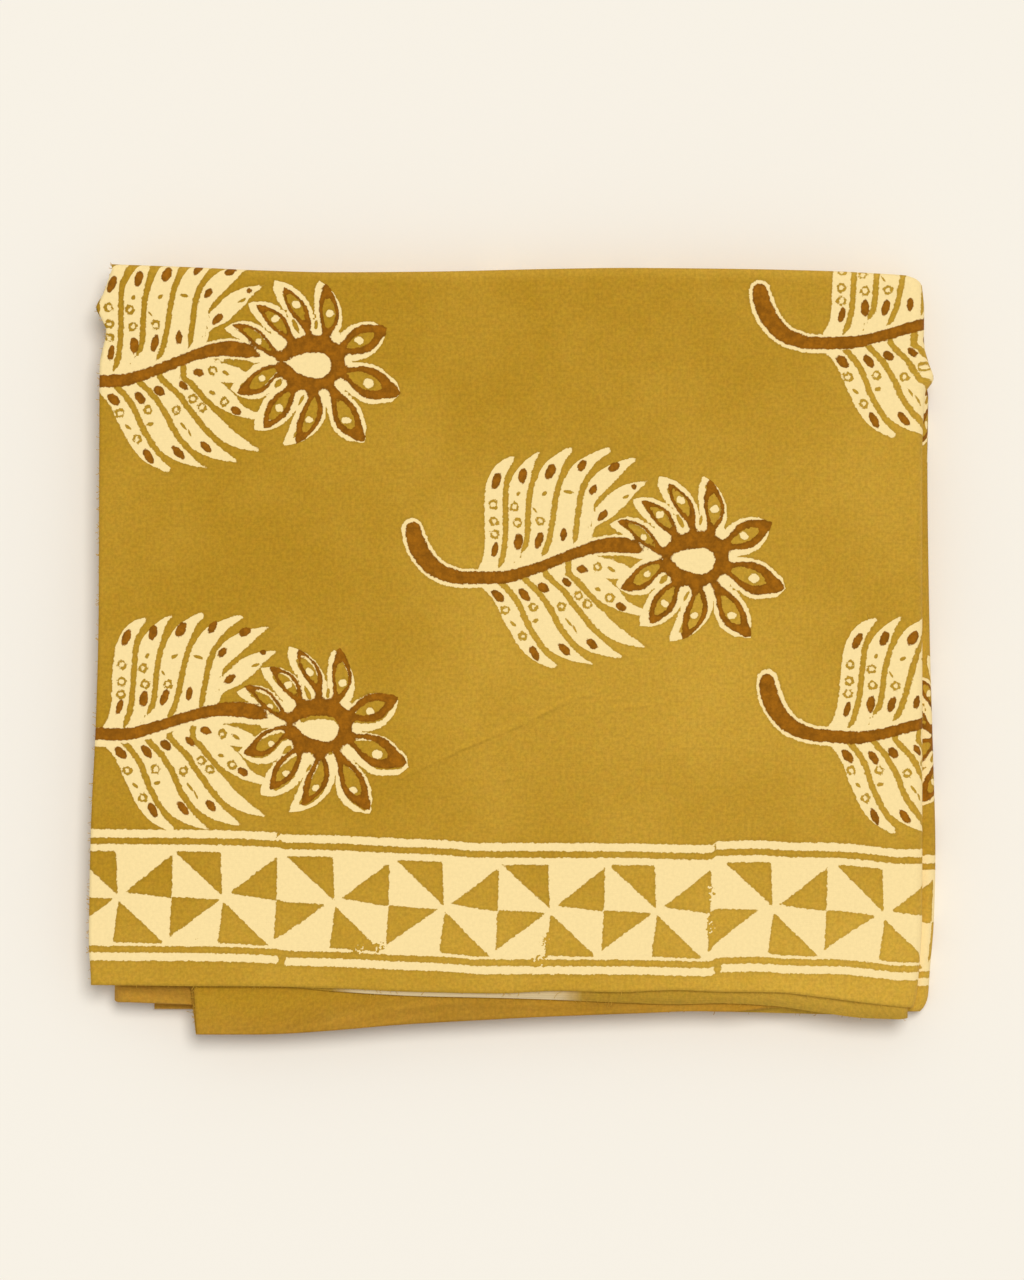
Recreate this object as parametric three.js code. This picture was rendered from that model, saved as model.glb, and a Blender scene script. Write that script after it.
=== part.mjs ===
// A length of mustard cotton with a mud-resist block print, folded for the shelf and lying face up.
// The cloth is folded in quarters across its width, and that strip of four layers is then folded
// back and forth along its length into four panels, so the bundle has sixteen layers. The whole
// length is one closed sheet. Millimetres, +Z up, +X along the strip, +Y towards the folded edge.
import * as THREE from "three";

const SHEET = 1.0; // thickness of the cloth
const GAP = 0.3; // air between two layers
const PITCH = SHEET + GAP; // from one layer to the next
const LAYERS_IN_STRIP = 4;
const TURN_RADIUS = (LAYERS_IN_STRIP / 2) * PITCH; // middle of the strip, where it turns back
const OUTER_REACH = TURN_RADIUS + 1.5 * PITCH + SHEET / 2; // outer face of a turn from its centre
const TURN_STEPS = 5; // facets of a half turn along the length
const FOLD_STEPS = 4; // facets of a fold across the width
const HIDDEN_STEPS = 6; // facets up a quarter that does not show
const SAG_DEPTH = PITCH; // how far the face settles where the two lower quarters end
const SAG_START = 13; // where that begins, past the slanted end of the second quarter
const SAG_RUN = 28; // length in which it settles
const MUSTARD = 0xbf9530;

// The four quarters in order across the width. offset is the place in the strip, in pitches above
// its middle. cutTop and cutFoot are how far the cut end lies in from the first quarter's, at the
// folded edge and at the foot. turnTop and turnFoot are how far it draws in at the three turns.
const QUARTERS = [
  { name: "first", offset: 1.5, cutTop: 0, cutFoot: 0, turnTop: [0, 3, 0], turnFoot: [0, 6, 0] },
  { name: "second", offset: -1.5, cutTop: 0, cutFoot: 40.5, turnTop: [3, 0, 3], turnFoot: [8, 0, 6] },
  { name: "third", offset: -0.5, cutTop: 12, cutFoot: 41, turnTop: [2, 1, 2], turnFoot: [7, 1, 5] },
  { name: "fourth", offset: 0.5, cutTop: 12, cutFoot: 4, turnTop: [1, 2, 1], turnFoot: [4.9, 4, 3] },
];
const [FIRST, SECOND, THIRD, FOURTH] = QUARTERS;

// The short sides of the first quarter, from its foot to the folded edge: its cut end on the left,
// and its folds at the first and the last turn on the right. The hidden quarters run straight
// between the first and the last row. The turn between is on the left and straight in every one.
const SIDES = [
  { y: -130, cut: -163.8, firstTurn: 156.6, lastTurn: 161.4 },
  { y: -113, cut: -164.6, firstTurn: 157.8, lastTurn: 162.4 },
  { y: -96, cut: -164.4, firstTurn: 158.8, lastTurn: 163.8 },
  { y: -68, cut: -163.8, firstTurn: 158.9, lastTurn: 164.5 },
  { y: -27, cut: -161.9, firstTurn: 158.9, lastTurn: 163.5 },
  { y: 15, cut: -160.8, firstTurn: 158.9, lastTurn: 162.3 },
  { y: 76, cut: -160.5, firstTurn: 158.9, lastTurn: 161.4 },
  { y: 100, cut: -160.4, firstTurn: 160.8, lastTurn: 161.7 },
  { y: 106, cut: -160.2, firstTurn: 163.3, lastTurn: 160.6 },
  { y: 112, cut: -159.6, firstTurn: 161.3, lastTurn: 159.6 },
  { y: 122, cut: -157.7, firstTurn: 159.4, lastTurn: 158.6 },
  { y: 127, cut: -159.1, firstTurn: 159.4, lastTurn: 158.2 },
  { y: 132, cut: -161.7, firstTurn: 159.8, lastTurn: 157.8 },
  { y: 138, cut: -158.7, firstTurn: 159.0, lastTurn: 157.4 },
  { y: 144, cut: -157.2, firstTurn: 158.0, lastTurn: 156.9 },
  { y: 149, cut: -155.6, firstTurn: 157.1, lastTurn: 156.4 },
];

// The folded edge at the top, along the whole length.
const FOLDED_EDGE = [
  { x: -156, y: 149.6 },
  { x: -124, y: 148.4 },
  { x: -98, y: 147.2 },
  { x: -70, y: 146.5 },
  { x: -37, y: 146.7 },
  { x: 19, y: 147.9 },
  { x: 42, y: 148.2 },
  { x: 81, y: 147.9 },
  { x: 122, y: 147.0 },
  { x: 140, y: 146.1 },
  { x: 153, y: 145.2 },
  { x: 159, y: 144.3 },
];

// The top panel's feet, from the cut end to the first turn: the selvedges of the first and the
// fourth quarter, and the plain fold of the second and third that lies below them.
const TOP_PANEL = [
  { x: -164, selvedge: -130.1, nextSelvedge: -129.4, plainFold: -149.6 },
  { x: -150, selvedge: -130.2, nextSelvedge: -129.4, plainFold: -149.6 },
  { x: -137, selvedge: -130.3, nextSelvedge: -129.5, plainFold: -149.6 },
  { x: -124, selvedge: -130.5, nextSelvedge: -129.6, plainFold: -149.3 },
  { x: -98, selvedge: -130.6, nextSelvedge: -130.2, plainFold: -147.8 },
  { x: -70, selvedge: -131.3, nextSelvedge: -132.6, plainFold: -145.8 },
  { x: -37, selvedge: -132.7, nextSelvedge: -134.4, plainFold: -144.2 },
  { x: -5, selvedge: -133.3, nextSelvedge: -135.1, plainFold: -142.8 },
  { x: 19, selvedge: -132.3, nextSelvedge: -135.9, plainFold: -142.0 },
  { x: 42, selvedge: -132.8, nextSelvedge: -136.9, plainFold: -141.3 },
  { x: 65, selvedge: -132.0, nextSelvedge: -137.6, plainFold: -140.6 },
  { x: 81, selvedge: -132.6, nextSelvedge: -137.2, plainFold: -140.8 },
  { x: 104, selvedge: -132.9, nextSelvedge: -138.3, plainFold: -139.0 },
  { x: 122, selvedge: -134.8, nextSelvedge: -140.8, plainFold: -138.5 },
  { x: 140, selvedge: -137.1, nextSelvedge: -143.0, plainFold: -138.0 },
  { x: 153, selvedge: -138.6, nextSelvedge: -143.4, plainFold: -137.6 },
];

// The three panels below it. foldedIn is how far the folded edge lies inside the top panel's, and
// each foot edge has a place at the left and at the right end. belly is the plain fold's bulge.
const LOWER_PANELS = [
  { name: "second", foldedIn: 1.4, selvedge: [-133.5, -139.4], nextSelvedge: [-135.0, -142.4],
    plainFold: [-137.2, -137.0], belly: 3.6 },
  { name: "third", foldedIn: 0.8, selvedge: [-132.0, -140.6], nextSelvedge: [-134.0, -139.0],
    plainFold: [-137.4, -137.4], belly: 2.2 },
  { name: "bottom", foldedIn: 2.2, selvedge: [-135.0, -141.2], nextSelvedge: [-136.5, -139.4],
    plainFold: [-140.2, -137.8], belly: 1.0 },
];
const HIDDEN_ENDS = [0, 0.05, 0.2, 0.4, 0.6, 0.8, 0.95, 1]; // stations along a lower panel
const LEFT_TURN = { foot: -155.2, top: -152.8 }; // between the second panel and the third
const FREE_END = { foot: -139.8, top: -133.0 }; // where the bottom panel stops
const PANELS = 1 + LOWER_PANELS.length;

const lerp = THREE.MathUtils.lerp;

// Reads a column of a table at a place between its rows.
function readTable(rows, key, place, column) {
  const last = rows.length - 1;
  if (place <= rows[0][key]) return rows[0][column];
  if (place >= rows[last][key]) return rows[last][column];
  const next = rows.findIndex((row) => row[key] > place);
  const share = (place - rows[next - 1][key]) / (rows[next][key] - rows[next - 1][key]);
  return lerp(rows[next - 1][column], rows[next][column], share);
}

// A height from 0 at the foot of a quarter to 1 at its folded edge, for the rows of SIDES.
const SIDE_SPAN = SIDES[SIDES.length - 1].y - SIDES[0].y;
const SIDE_ROWS = SIDES.map((row) => ({ ...row, height: (row.y - SIDES[0].y) / SIDE_SPAN }));

const PANEL_LEFT = TOP_PANEL[0].x;
const PANEL_RIGHT = TOP_PANEL[TOP_PANEL.length - 1].x;
const shareAlong = (x) => (x - PANEL_LEFT) / (PANEL_RIGHT - PANEL_LEFT);

// A panel's feet at a share of its length, from its left end to its right, and how far its folded
// edge lies inside the top panel's.
function panelEdges(panel, share) {
  if (panel === 0) {
    const x = lerp(PANEL_LEFT, PANEL_RIGHT, share);
    const read = (column) => readTable(TOP_PANEL, "x", x, column);
    return { foldedIn: 0, selvedge: read("selvedge"), nextSelvedge: read("nextSelvedge"),
      plainFold: read("plainFold") };
  }
  const row = LOWER_PANELS[panel - 1];
  return {
    foldedIn: row.foldedIn,
    selvedge: lerp(...row.selvedge, share),
    nextSelvedge: lerp(...row.nextSelvedge, share),
    plainFold: lerp(...row.plainFold, share) - row.belly * Math.sin(Math.PI * share),
  };
}

function blendEdges(from, to, share) {
  const edges = {};
  for (const name of Object.keys(from)) edges[name] = lerp(from[name], to[name], share);
  return edges;
}

// The strip's section, across the width. A point has its height in the quarter, the foot edge that
// the quarter ends at, its rise from there around a fold, its depth in the strip, the direction of
// the printed face, and the two quarters that it lies between.
function stripSection() {
  const points = [];
  const hiddenHeights = Array.from({ length: HIDDEN_STEPS + 1 }, (_, n) => n / HIDDEN_STEPS);
  const shownHeights = SIDE_ROWS.map((row) => row.height);

  const addQuarter = (quarter, heights, foot, goesUp) => {
    const ordered = goesUp ? heights : [...heights].reverse();
    for (const height of ordered) {
      points.push({ height, foot, rise: 0, depth: quarter.offset * PITCH, faceY: 0,
        faceDepth: goesUp ? 1 : -1, from: quarter, to: quarter, share: 0 });
    }
  };
  // outside says whether the printed face is the outer one of the fold.
  const addFold = (from, to, height, outside) => {
    const centre = ((from.offset + to.offset) / 2) * PITCH;
    const radius = ((from.offset - to.offset) / 2) * PITCH;
    const way = height === 1 ? 1 : -1;
    const side = outside ? 1 : -1;
    for (let step = 1; step < FOLD_STEPS; step += 1) {
      const angle = (Math.PI * step) / FOLD_STEPS;
      const up = way * Math.sin(angle);
      const deep = Math.sign(radius) * Math.cos(angle);
      points.push({ height, foot: "plainFold", rise: Math.abs(radius) * up,
        depth: centre + Math.abs(radius) * deep, faceY: side * up, faceDepth: side * deep,
        from, to, share: step / FOLD_STEPS });
    }
  };

  addQuarter(FIRST, shownHeights, "selvedge", true);
  addFold(FIRST, SECOND, 1, true);
  addQuarter(SECOND, hiddenHeights, "plainFold", false);
  addFold(SECOND, THIRD, 0, true);
  addQuarter(THIRD, hiddenHeights, "plainFold", true);
  addFold(THIRD, FOURTH, 1, false);
  addQuarter(FOURTH, hiddenHeights, "nextSelvedge", false);
  return points;
}

// A side of the bundle at a point: the first quarter follows its table, the others run straight.
function sideAt(point, column) {
  const shown = point.from === FIRST && point.to === FIRST;
  if (shown) return readTable(SIDE_ROWS, "height", point.height, column);
  return lerp(SIDE_ROWS[0][column], SIDE_ROWS[SIDE_ROWS.length - 1][column], point.height);
}

// How far a point's cut end or turn lies in from the outermost quarter's.
function inset(point, columnFoot, columnTop, turn) {
  const read = (quarter, column) => (turn === undefined ? quarter[column] : quarter[column][turn]);
  const insetOf = (quarter) => lerp(read(quarter, columnFoot), read(quarter, columnTop), point.height);
  return lerp(insetOf(point.from), insetOf(point.to), point.share);
}

// The centre of each turn: the first and last are on the right, the one between on the left.
const TURNS = [
  { side: 1, edge: (point) => sideAt(point, "firstTurn") },
  { side: -1, edge: (point) => lerp(LEFT_TURN.foot, LEFT_TURN.top, point.height) },
  { side: 1, edge: (point) => sideAt(point, "lastTurn") },
];
function turnCentre(point, turn) {
  const { side, edge } = TURNS[turn];
  return edge(point) - side * (OUTER_REACH + inset(point, "turnFoot", "turnTop", turn));
}
function panelLeft(point, panel) {
  if (panel === 0) return sideAt(point, "cut") + inset(point, "cutFoot", "cutTop");
  if (panel === PANELS - 1) return lerp(FREE_END.foot, FREE_END.top, point.height);
  return turnCentre(point, 1);
}
const panelRight = (point, panel) => turnCentre(point, panel < 2 ? 0 : 2);

// The middle of a panel above the floor, and of the turn below it.
const panelMiddle = (panel) => SHEET / 2 + PITCH * (LAYERS_IN_STRIP * (PANELS - panel) - 2.5);
const turnMiddle = (turn) => panelMiddle(turn) - TURN_RADIUS;

// The first and fourth quarters settle past the slanted end of the second.
function sag(point, x) {
  const upper = point.from.offset > 0 && point.to.offset > 0;
  if (!upper) return 0;
  const innerEnd = sideAt(point, "cut") + lerp(SECOND.cutFoot, SECOND.cutTop, point.height);
  return SAG_DEPTH * THREE.MathUtils.smoothstep(innerEnd - SAG_START - x, 0, SAG_RUN);
}

// The bundle is a little fuller along its folded edge and in soft waves, never below its height.
function fullness(x, y) {
  const wave = 0.02 * (1 + Math.sin(x / 62 + 0.6) * Math.cos(y / 47));
  return 1 + wave + 0.02 * THREE.MathUtils.smoothstep(y, 0, 150);
}

// A point's y, between the foot of its quarter and the folded edge above it.
function heightY(station, point, x) {
  const folded = readTable(FOLDED_EDGE, "x", x, "y") - station.edges.foldedIn;
  const top = folded - SHEET / 2 - 1.5 * PITCH;
  const turnedIn = point.foot === "plainFold" ? SHEET / 2 + 0.5 * PITCH : 0;
  return lerp(station.edges[point.foot] + turnedIn, top, point.height) + point.rise;
}

// A section point in space, on the printed face (side 1) or the wrong side (side -1).
function place(station, point, side) {
  const depth = point.depth + side * point.faceDepth * (SHEET / 2);
  let x;
  let z;
  if (station.turn === undefined) {
    const faceUp = station.panel % 2 === 0 ? 1 : -1;
    x = lerp(panelLeft(point, station.panel), panelRight(point, station.panel), station.share);
    z = panelMiddle(station.panel) + faceUp * depth;
    if (station.panel === 0) z -= sag(point, x);
  } else {
    const turnSide = TURNS[station.turn].side;
    const radius = TURN_RADIUS + turnSide * depth;
    x = turnCentre(point, station.turn) + turnSide * radius * Math.sin(station.angle);
    z = turnMiddle(station.turn) + radius * Math.cos(station.angle);
  }
  const y = heightY(station, point, x) + side * point.faceY * (SHEET / 2);
  return [x, y, z * fullness(x, y)];
}

// Stations along the strip, from the cut end on top to the free end at the bottom.
function stripStations() {
  const stations = [];
  for (let panel = 0; panel < PANELS; panel += 1) {
    const shares = panel === 0 ? TOP_PANEL.map((row) => shareAlong(row.x)) : HIDDEN_ENDS;
    const ordered = panel % 2 === 0 ? shares : [...shares].reverse();
    for (const share of ordered) {
      stations.push({ panel, share, edges: panelEdges(panel, share) });
    }
    if (panel === PANELS - 1) break;
    const end = panel % 2 === 0 ? 1 : 0;
    for (let step = 1; step < TURN_STEPS; step += 1) {
      const share = step / TURN_STEPS;
      const edges = blendEdges(panelEdges(panel, end), panelEdges(panel + 1, end), share);
      stations.push({ turn: panel, angle: Math.PI * share, edges });
    }
  }
  return stations;
}

// Joins the printed face and the wrong side into one closed sheet.
function sheetGeometry() {
  const stations = stripStations();
  const section = stripSection();
  const positions = [];
  const face = [];
  const wrong = [];
  for (const station of stations) {
    for (const [grid, side] of [[face, 1], [wrong, -1]]) {
      grid.push(section.map((point) => {
        positions.push(...place(station, point, side));
        return positions.length / 3 - 1;
      }));
    }
  }
  const index = [];
  const quad = (a, b, c, d) => index.push(a, b, c, a, c, d);
  const lastRow = face.length - 1;
  const lastPoint = face[0].length - 1;
  for (let i = 0; i < lastRow; i += 1) {
    for (let j = 0; j < lastPoint; j += 1) {
      quad(face[i][j], face[i + 1][j], face[i + 1][j + 1], face[i][j + 1]);
      quad(wrong[i][j], wrong[i][j + 1], wrong[i + 1][j + 1], wrong[i + 1][j]);
    }
    quad(face[i][0], wrong[i][0], wrong[i + 1][0], face[i + 1][0]);
    quad(face[i + 1][lastPoint], wrong[i + 1][lastPoint], wrong[i][lastPoint], face[i][lastPoint]);
  }
  for (let j = 0; j < lastPoint; j += 1) {
    quad(face[0][j], face[0][j + 1], wrong[0][j + 1], wrong[0][j]);
    quad(wrong[lastRow][j], wrong[lastRow][j + 1], face[lastRow][j + 1], face[lastRow][j]);
  }
  const geometry = new THREE.BufferGeometry();
  geometry.setAttribute("position", new THREE.Float32BufferAttribute(positions, 3));
  geometry.setIndex(index);
  geometry.computeBoundingBox();
  return geometry;
}

// One mesh, standing on the origin at the middle of its underside.
function buildCloth() {
  const geometry = sheetGeometry();
  const middle = geometry.boundingBox.getCenter(new THREE.Vector3());
  geometry.translate(-middle.x, -middle.y, 0);
  geometry.computeVertexNormals();
  const material = new THREE.MeshStandardMaterial({ color: MUSTARD, roughness: 0.92, metalness: 0,
    flatShading: true });
  const cloth = new THREE.Mesh(geometry, material);
  cloth.name = "cloth";
  return cloth;
}

const bundle = new THREE.Group();
bundle.name = "folded_dabu_print_fabric";
bundle.add(buildCloth());

export default bundle;
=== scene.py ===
"""Looks of a length of mustard cotton with a mud-resist block print, folded for the shelf, face up.

The cloth is folded in quarters across its width and then back and forth along its length into four
panels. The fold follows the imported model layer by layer, in a finer and thinner sheet. The print is
worked out on the flat cloth from the sizes of its two blocks, the resist block and the brown block,
and is carried by the mesh, so it runs around every fold as the real print does.

Sizes in the tables are millimetres. +X runs along the strip, +Y towards the folded edge, +Z up.
"""
import math

import bpy
import mathutils
import numpy as np
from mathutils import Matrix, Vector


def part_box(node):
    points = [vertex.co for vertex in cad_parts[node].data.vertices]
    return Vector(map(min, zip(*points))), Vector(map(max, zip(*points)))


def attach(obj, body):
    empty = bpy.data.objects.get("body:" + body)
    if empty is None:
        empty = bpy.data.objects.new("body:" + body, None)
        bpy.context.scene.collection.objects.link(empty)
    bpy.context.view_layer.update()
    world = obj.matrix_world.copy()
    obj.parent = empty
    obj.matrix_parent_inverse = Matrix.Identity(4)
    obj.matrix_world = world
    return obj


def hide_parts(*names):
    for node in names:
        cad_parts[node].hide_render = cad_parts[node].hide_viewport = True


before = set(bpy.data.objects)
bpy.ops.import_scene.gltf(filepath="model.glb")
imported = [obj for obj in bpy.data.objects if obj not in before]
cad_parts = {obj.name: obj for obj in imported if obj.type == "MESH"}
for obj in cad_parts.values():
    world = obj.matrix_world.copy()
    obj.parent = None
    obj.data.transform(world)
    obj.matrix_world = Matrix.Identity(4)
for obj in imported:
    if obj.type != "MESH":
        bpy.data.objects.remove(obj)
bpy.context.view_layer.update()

bl_info = {
    "name": "Folded Dabu Print Fabric",
    "version": (1, 0, 0),
    "blender": (4, 5, 0),
    "location": "View3D > Sidebar > Fabric",
    "description": "Makes a folded length of mustard block-printed cotton, its loose threads and a stage",
    "category": "Object",
}

MM = 0.001
NODE = "cloth"


def table(columns, *rows):
    """A short table with named columns, as one array for each column."""
    return dict(zip(columns.split(), np.array(rows, float).T))


def curves(heights, *lines):
    """Lines up a comb, numbered from its left, each by its x at the same heights."""
    return {"y": np.array(heights, float), **dict(enumerate(np.array(lines, float)))}


# The fold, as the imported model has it. Layers are a pitch apart.
CAD_SHEET = 1.0
PITCH = 1.3
TURN_RADIUS = 2 * PITCH
OUTER_REACH = TURN_RADIUS + 1.5 * PITCH + CAD_SHEET / 2
SAG_DEPTH = PITCH
SAG_START = 13.0
SAG_RUN = 28.0

# The four quarters in order across the width. offset is the place in the strip, in pitches above
# its middle. cut_top and cut_foot are how far the cut end lies in from the first quarter's, at the
# folded edge and at the foot, and the turns' columns how far it draws in at each of the turns.
FIRST, SECOND, THIRD, FOURTH = range(4)
QUARTERS = table(
    "offset cut_top cut_foot top_0 top_1 top_2 foot_0 foot_1 foot_2",
    (1.5, 0, 0, 0, 3, 0, 0, 6, 0),
    (-1.5, 0, 40.5, 3, 0, 3, 5.6, 0, 6),
    (-0.5, 12, 41, 2, 1, 2, 5.0, 1, 5),
    (0.5, 12, 4, 1, 2, 1, 0.7, 4, 3),
)

# The first quarter's short sides from its foot to the folded edge: its cut end on the left, and its
# folds at the first and the last turn on the right.
SIDES = table(
    "y cut first_turn last_turn",
    (-130, -163.8, 155.2, 158.4),
    (-128, -163.8, 156.0, 160.2),
    (-124, -164.0, 156.8, 161.6),
    (-113, -164.6, 157.8, 162.4),
    (-96, -164.4, 158.8, 163.8),
    (-68, -163.8, 158.9, 164.5),
    (-27, -161.9, 158.9, 163.5),
    (15, -160.8, 158.9, 162.3),
    (84, -160.5, 158.9, 161.4),
    (108, -160.4, 160.0, 161.7),
    (114, -160.2, 163.3, 160.6),
    (120, -158.9, 161.4, 159.6),
    (126, -157.7, 159.8, 158.6),
    (130, -159.1, 159.5, 158.2),
    (135, -161.7, 159.6, 157.8),
    (141, -158.7, 159.6, 157.4),
    (146, -157.0, 159.2, 156.9),
    (150, -155.6, 158.7, 156.4),
)

# The folded edge at the top, along the whole length.
FOLDED_EDGE = table(
    "x y",
    (-156, 149.6), (-124, 148.4), (-98, 147.2), (-70, 146.5), (-37, 146.7), (19, 147.9),
    (42, 148.2), (81, 147.9), (122, 147.0), (140, 146.1), (153, 145.2), (159, 144.3),
)

# The top panel's feet, from the cut end to the first turn: the selvedges of the first and the
# fourth quarter, and the plain fold of the second and third that lies below them.
TOP_PANEL = table(
    "x selvedge plain_fold next_selvedge",
    (-164, -130.1, -149.6, -129.4),
    (-150, -130.2, -149.6, -129.4),
    (-137, -130.3, -149.6, -129.5),
    (-124, -130.5, -149.3, -129.6),
    (-98, -130.6, -147.8, -130.2),
    (-70, -131.3, -145.8, -132.6),
    (-37, -132.7, -144.2, -134.4),
    (-5, -133.3, -142.8, -135.1),
    (19, -132.3, -142.0, -135.9),
    (42, -132.8, -141.3, -136.9),
    (65, -132.0, -140.6, -137.6),
    (81, -132.6, -140.8, -137.2),
    (104, -132.9, -139.0, -138.3),
    (122, -134.8, -138.5, -140.8),
    (140, -137.1, -138.0, -143.0),
    (153, -138.6, -137.6, -143.4),
)

# The three panels below it. folded_in is how far the folded edge lies inside the top panel's. Each
# foot edge has a place at the left and at the right end, and belly is the plain fold's bulge.
LOWER_PANELS = table(
    "folded_in selvedge_l selvedge_r plain_l plain_r next_l next_r belly",
    (1.4, -133.5, -139.4, -137.2, -137.0, -135.0, -142.4, 3.6),
    (0.8, -132.0, -140.6, -137.4, -137.4, -134.0, -139.0, 2.2),
    (2.2, -135.0, -141.2, -140.2, -137.8, -136.5, -139.4, 1.0),
)
LEFT_TURN = {"foot": -155.2, "top": -152.8}
FREE_END = {"foot": -139.8, "top": -133.0}
# The top layer's selvedge curls up a little towards the right, off the layer below it.
CURL = {"lift": 0.9, "reach": 4.0, "from": -30.0, "full": 40.0, "fade": 130.0, "to": 150.0}
PANELS = 4
# Where the middles of the three turns lie along X on the whole, for lengths along the cloth.
TURN_PLACES = (153.0, -150.0, 158.4)

# Stations along a lower panel, closer together near its right end, where its print shows.
LOWER_STATIONS = (0, 0.006, 0.03, 0.08, 0.2, 0.35, 0.5, 0.65, 0.8, 0.9, 0.95, 0.968, 0.976, 0.983,
                  0.989, 0.995, 1)
TURN_STEPS = 8
FOLD_STEPS = 6
HIDDEN_POINTS = 14
WRONG_SIDE_STRIDE = 3
PRINTED_FACE, WRONG_FACE, RIM_FACE = range(3)

# Creases pressed into the top layer. Each row is one point, and its fade is the crease's strength.
CREASES = (
    table("x y fade", (-50, -53.3, 0), (-47, -52, 0.5), (-18.7, -38.7, 1), (3.9, -29.4, 1),
          (14.4, -23.9, 0.9), (26.4, -18.9, 0.7), (44, -13.8, 0)),
    table("x y fade", (26, -25.6, 0), (42.4, -23.5, 0.7), (60, -21.0, 0)),
    table("x y fade", (-17, -55.1, 0), (-4.7, -51.5, 0.6), (9, -49.2, 0)),
)

# The two blocks. Places are from the middle of the flower, x towards its right and y up, and half
# is half a line's breadth.
STEM = table(
    "x y half",
    (-108.0, 12.4, 2.9), (-107.2, 9.0, 3.4), (-105.6, 5.0, 3.5), (-103.7, 1.8, 3.4),
    (-101.2, -1.2, 3.25), (-97.2, -4.3, 3.0), (-93.0, -5.9, 2.75), (-88.0, -6.9, 2.5),
    (-80.0, -6.8, 2.45), (-72.0, -6.3, 2.45), (-65.0, -4.4, 2.2), (-58.0, -2.0, 2.1),
    (-50.0, 1.1, 2.1), (-42.0, 3.8, 2.3), (-35.0, 5.5, 2.7), (-29.0, 5.9, 3.05),
    (-24.0, 5.4, 2.9), (-20.5, 4.2, 1.4), (-18.0, 3.3, 0.3),
)
NECK = table("x y half", (-19.5, 3.6, 3.1), (-14.2, 1.7, 0.8))

# A comb of barbs on each side of the stem. Lines run up it: its left edge, the gaps between its
# barbs and its right edge, each by its x at the same heights above the stem's own. A gap opens at a
# height. Each barb has the height of its tip and how far its shoulder lies below that.
UPPER_COMB = {
    "way": 1,
    "gap": 1.15,
    "lines": curves(
        (-4, 2, 8, 13, 17, 20, 23, 26, 29, 32, 35, 38, 42),
        (-83, -80.4, -79.8, -79.9, -80, -80, -79.9, -79.8, -79.5, -79, -78.5, -78, -77),
        (-75, -72.9, -72, -71.8, -71.8, -71.8, -71.8, -71.8, -71.6, -71, -69.7, -68, -65.5),
        (-69.8, -66.3, -63.6, -63.2, -63.1, -63, -62.8, -62.4, -61.8, -61, -60.3, -59.3, -57),
        (-61, -57.3, -55, -54, -53.4, -53, -52.6, -52, -51.3, -50.2, -49.2, -48, -45),
        (-51, -47.5, -45, -44.4, -43.9, -43.6, -43.2, -42.6, -41.6, -40, -37.9, -35.3, -30),
        (-45, -42.5, -40.5, -39.3, -38.5, -37.6, -35.8, -33, -29.9, -26.9, -24.1, -20.8, -14.5),
        (-43, -40.5, -38.7, -37.2, -30.3, -27.2, -24, -21.9, -18.6, -14, -8, -4, 0),
    ),
    "opens": (None, -5, 1, -1, 4.5, 18, None),
    "barbs": table("tip shoulder", (40.8, 12.5), (42.5, 13), (44.1, 14), (44.0, 13),
                   (40.3, 9), (31.0, 4)),
}
LOWER_COMB = {
    "way": -1,
    "gap": 1.2,
    "lines": curves(
        (5, 8, 12, 16, 20, 24, 28, 32, 36, 40),
        (-86, -83.5, -79.2, -76, -74, -72, -69.7, -67.6, -65.5, -63.5),
        (-76.5, -74, -70.2, -67.2, -65.2, -63.5, -61.3, -58.7, -55.5, -51),
        (-66.5, -63.5, -59.3, -56.3, -53.8, -51.8, -49.3, -46, -42, -36),
        (-56.5, -53.5, -49, -46.3, -43, -39.8, -36, -31.5, -26, -19),
        (-47.5, -44, -40.5, -36.5, -32.3, -28.2, -23, -17, -10, -3),
        (-36, -31.5, -27.3, -24.2, -15.5, -10, -4, 2, 8, 14),
    ),
    "opens": (None, -40, -40, -40, -40, None),
    "barbs": table("tip shoulder", (41.9, 11), (40.1, 6), (37.9, 5), (33.7, 4), (21.8, 5.5)),
}
LOBE = {"x": -34.0, "y": -2.9, "long": 12.0, "broad": 3.7, "tilt": -10.0}

# Petals: the direction of each at its root, its middle and its tip in degrees, its length, half its
# breadth, how much of its tip is filled, and how far the resist's tip strays from the brown one.
PETALS = table(
    "root middle tip start length half from to hollow past stray",
    (161.0, 151.2, 152.2, 8.5, 32.3, 3.0, 14.0, 28.8, 1.8, 2.0, 1.5),
    (122.5, 124.3, 129.5, 10.0, 30.0, 3.45, 14.3, 26.6, 1.95, 2.5, 1.0),
    (88.0, 98.1, 105.4, 12.0, 31.3, 3.7, 17.0, 29.2, 2.15, 3.4, 1.8),
    (57.5, 66.8, 76.5, 12.0, 32.3, 4.3, 15.8, 27.8, 2.75, 0.5, 3.5),
    (23.5, 24.3, 25.0, 12.5, 34.0, 5.4, 16.3, 28.9, 2.35, -2.0, 0.0),
    (-11.3, -15.8, -16.5, 12.5, 37.8, 6.0, 15.5, 30.8, 2.95, -0.6, 0.0),
    (-43.5, -51.6, -52.5, 13.0, 37.3, 5.0, 17.8, 31.3, 2.7, -2.5, 0.0),
    (-76.5, -85.6, -96.0, 9.0, 30.0, 4.7, 12.0, 26.6, 2.25, 2.0, -4.0),
    (-122.2, -122.8, -123.3, 8.0, 28.8, 4.4, 11.2, 25.4, 2.15, 2.9, -2.6),
    (-170.0, -160.0, -157.5, 8.0, 28.8, 4.4, 11.0, 24.0, 2.65, 1.6, -3.0),
)
PETAL_ROOT = 13.0
PETAL_OUTLINE = 1.6

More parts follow.
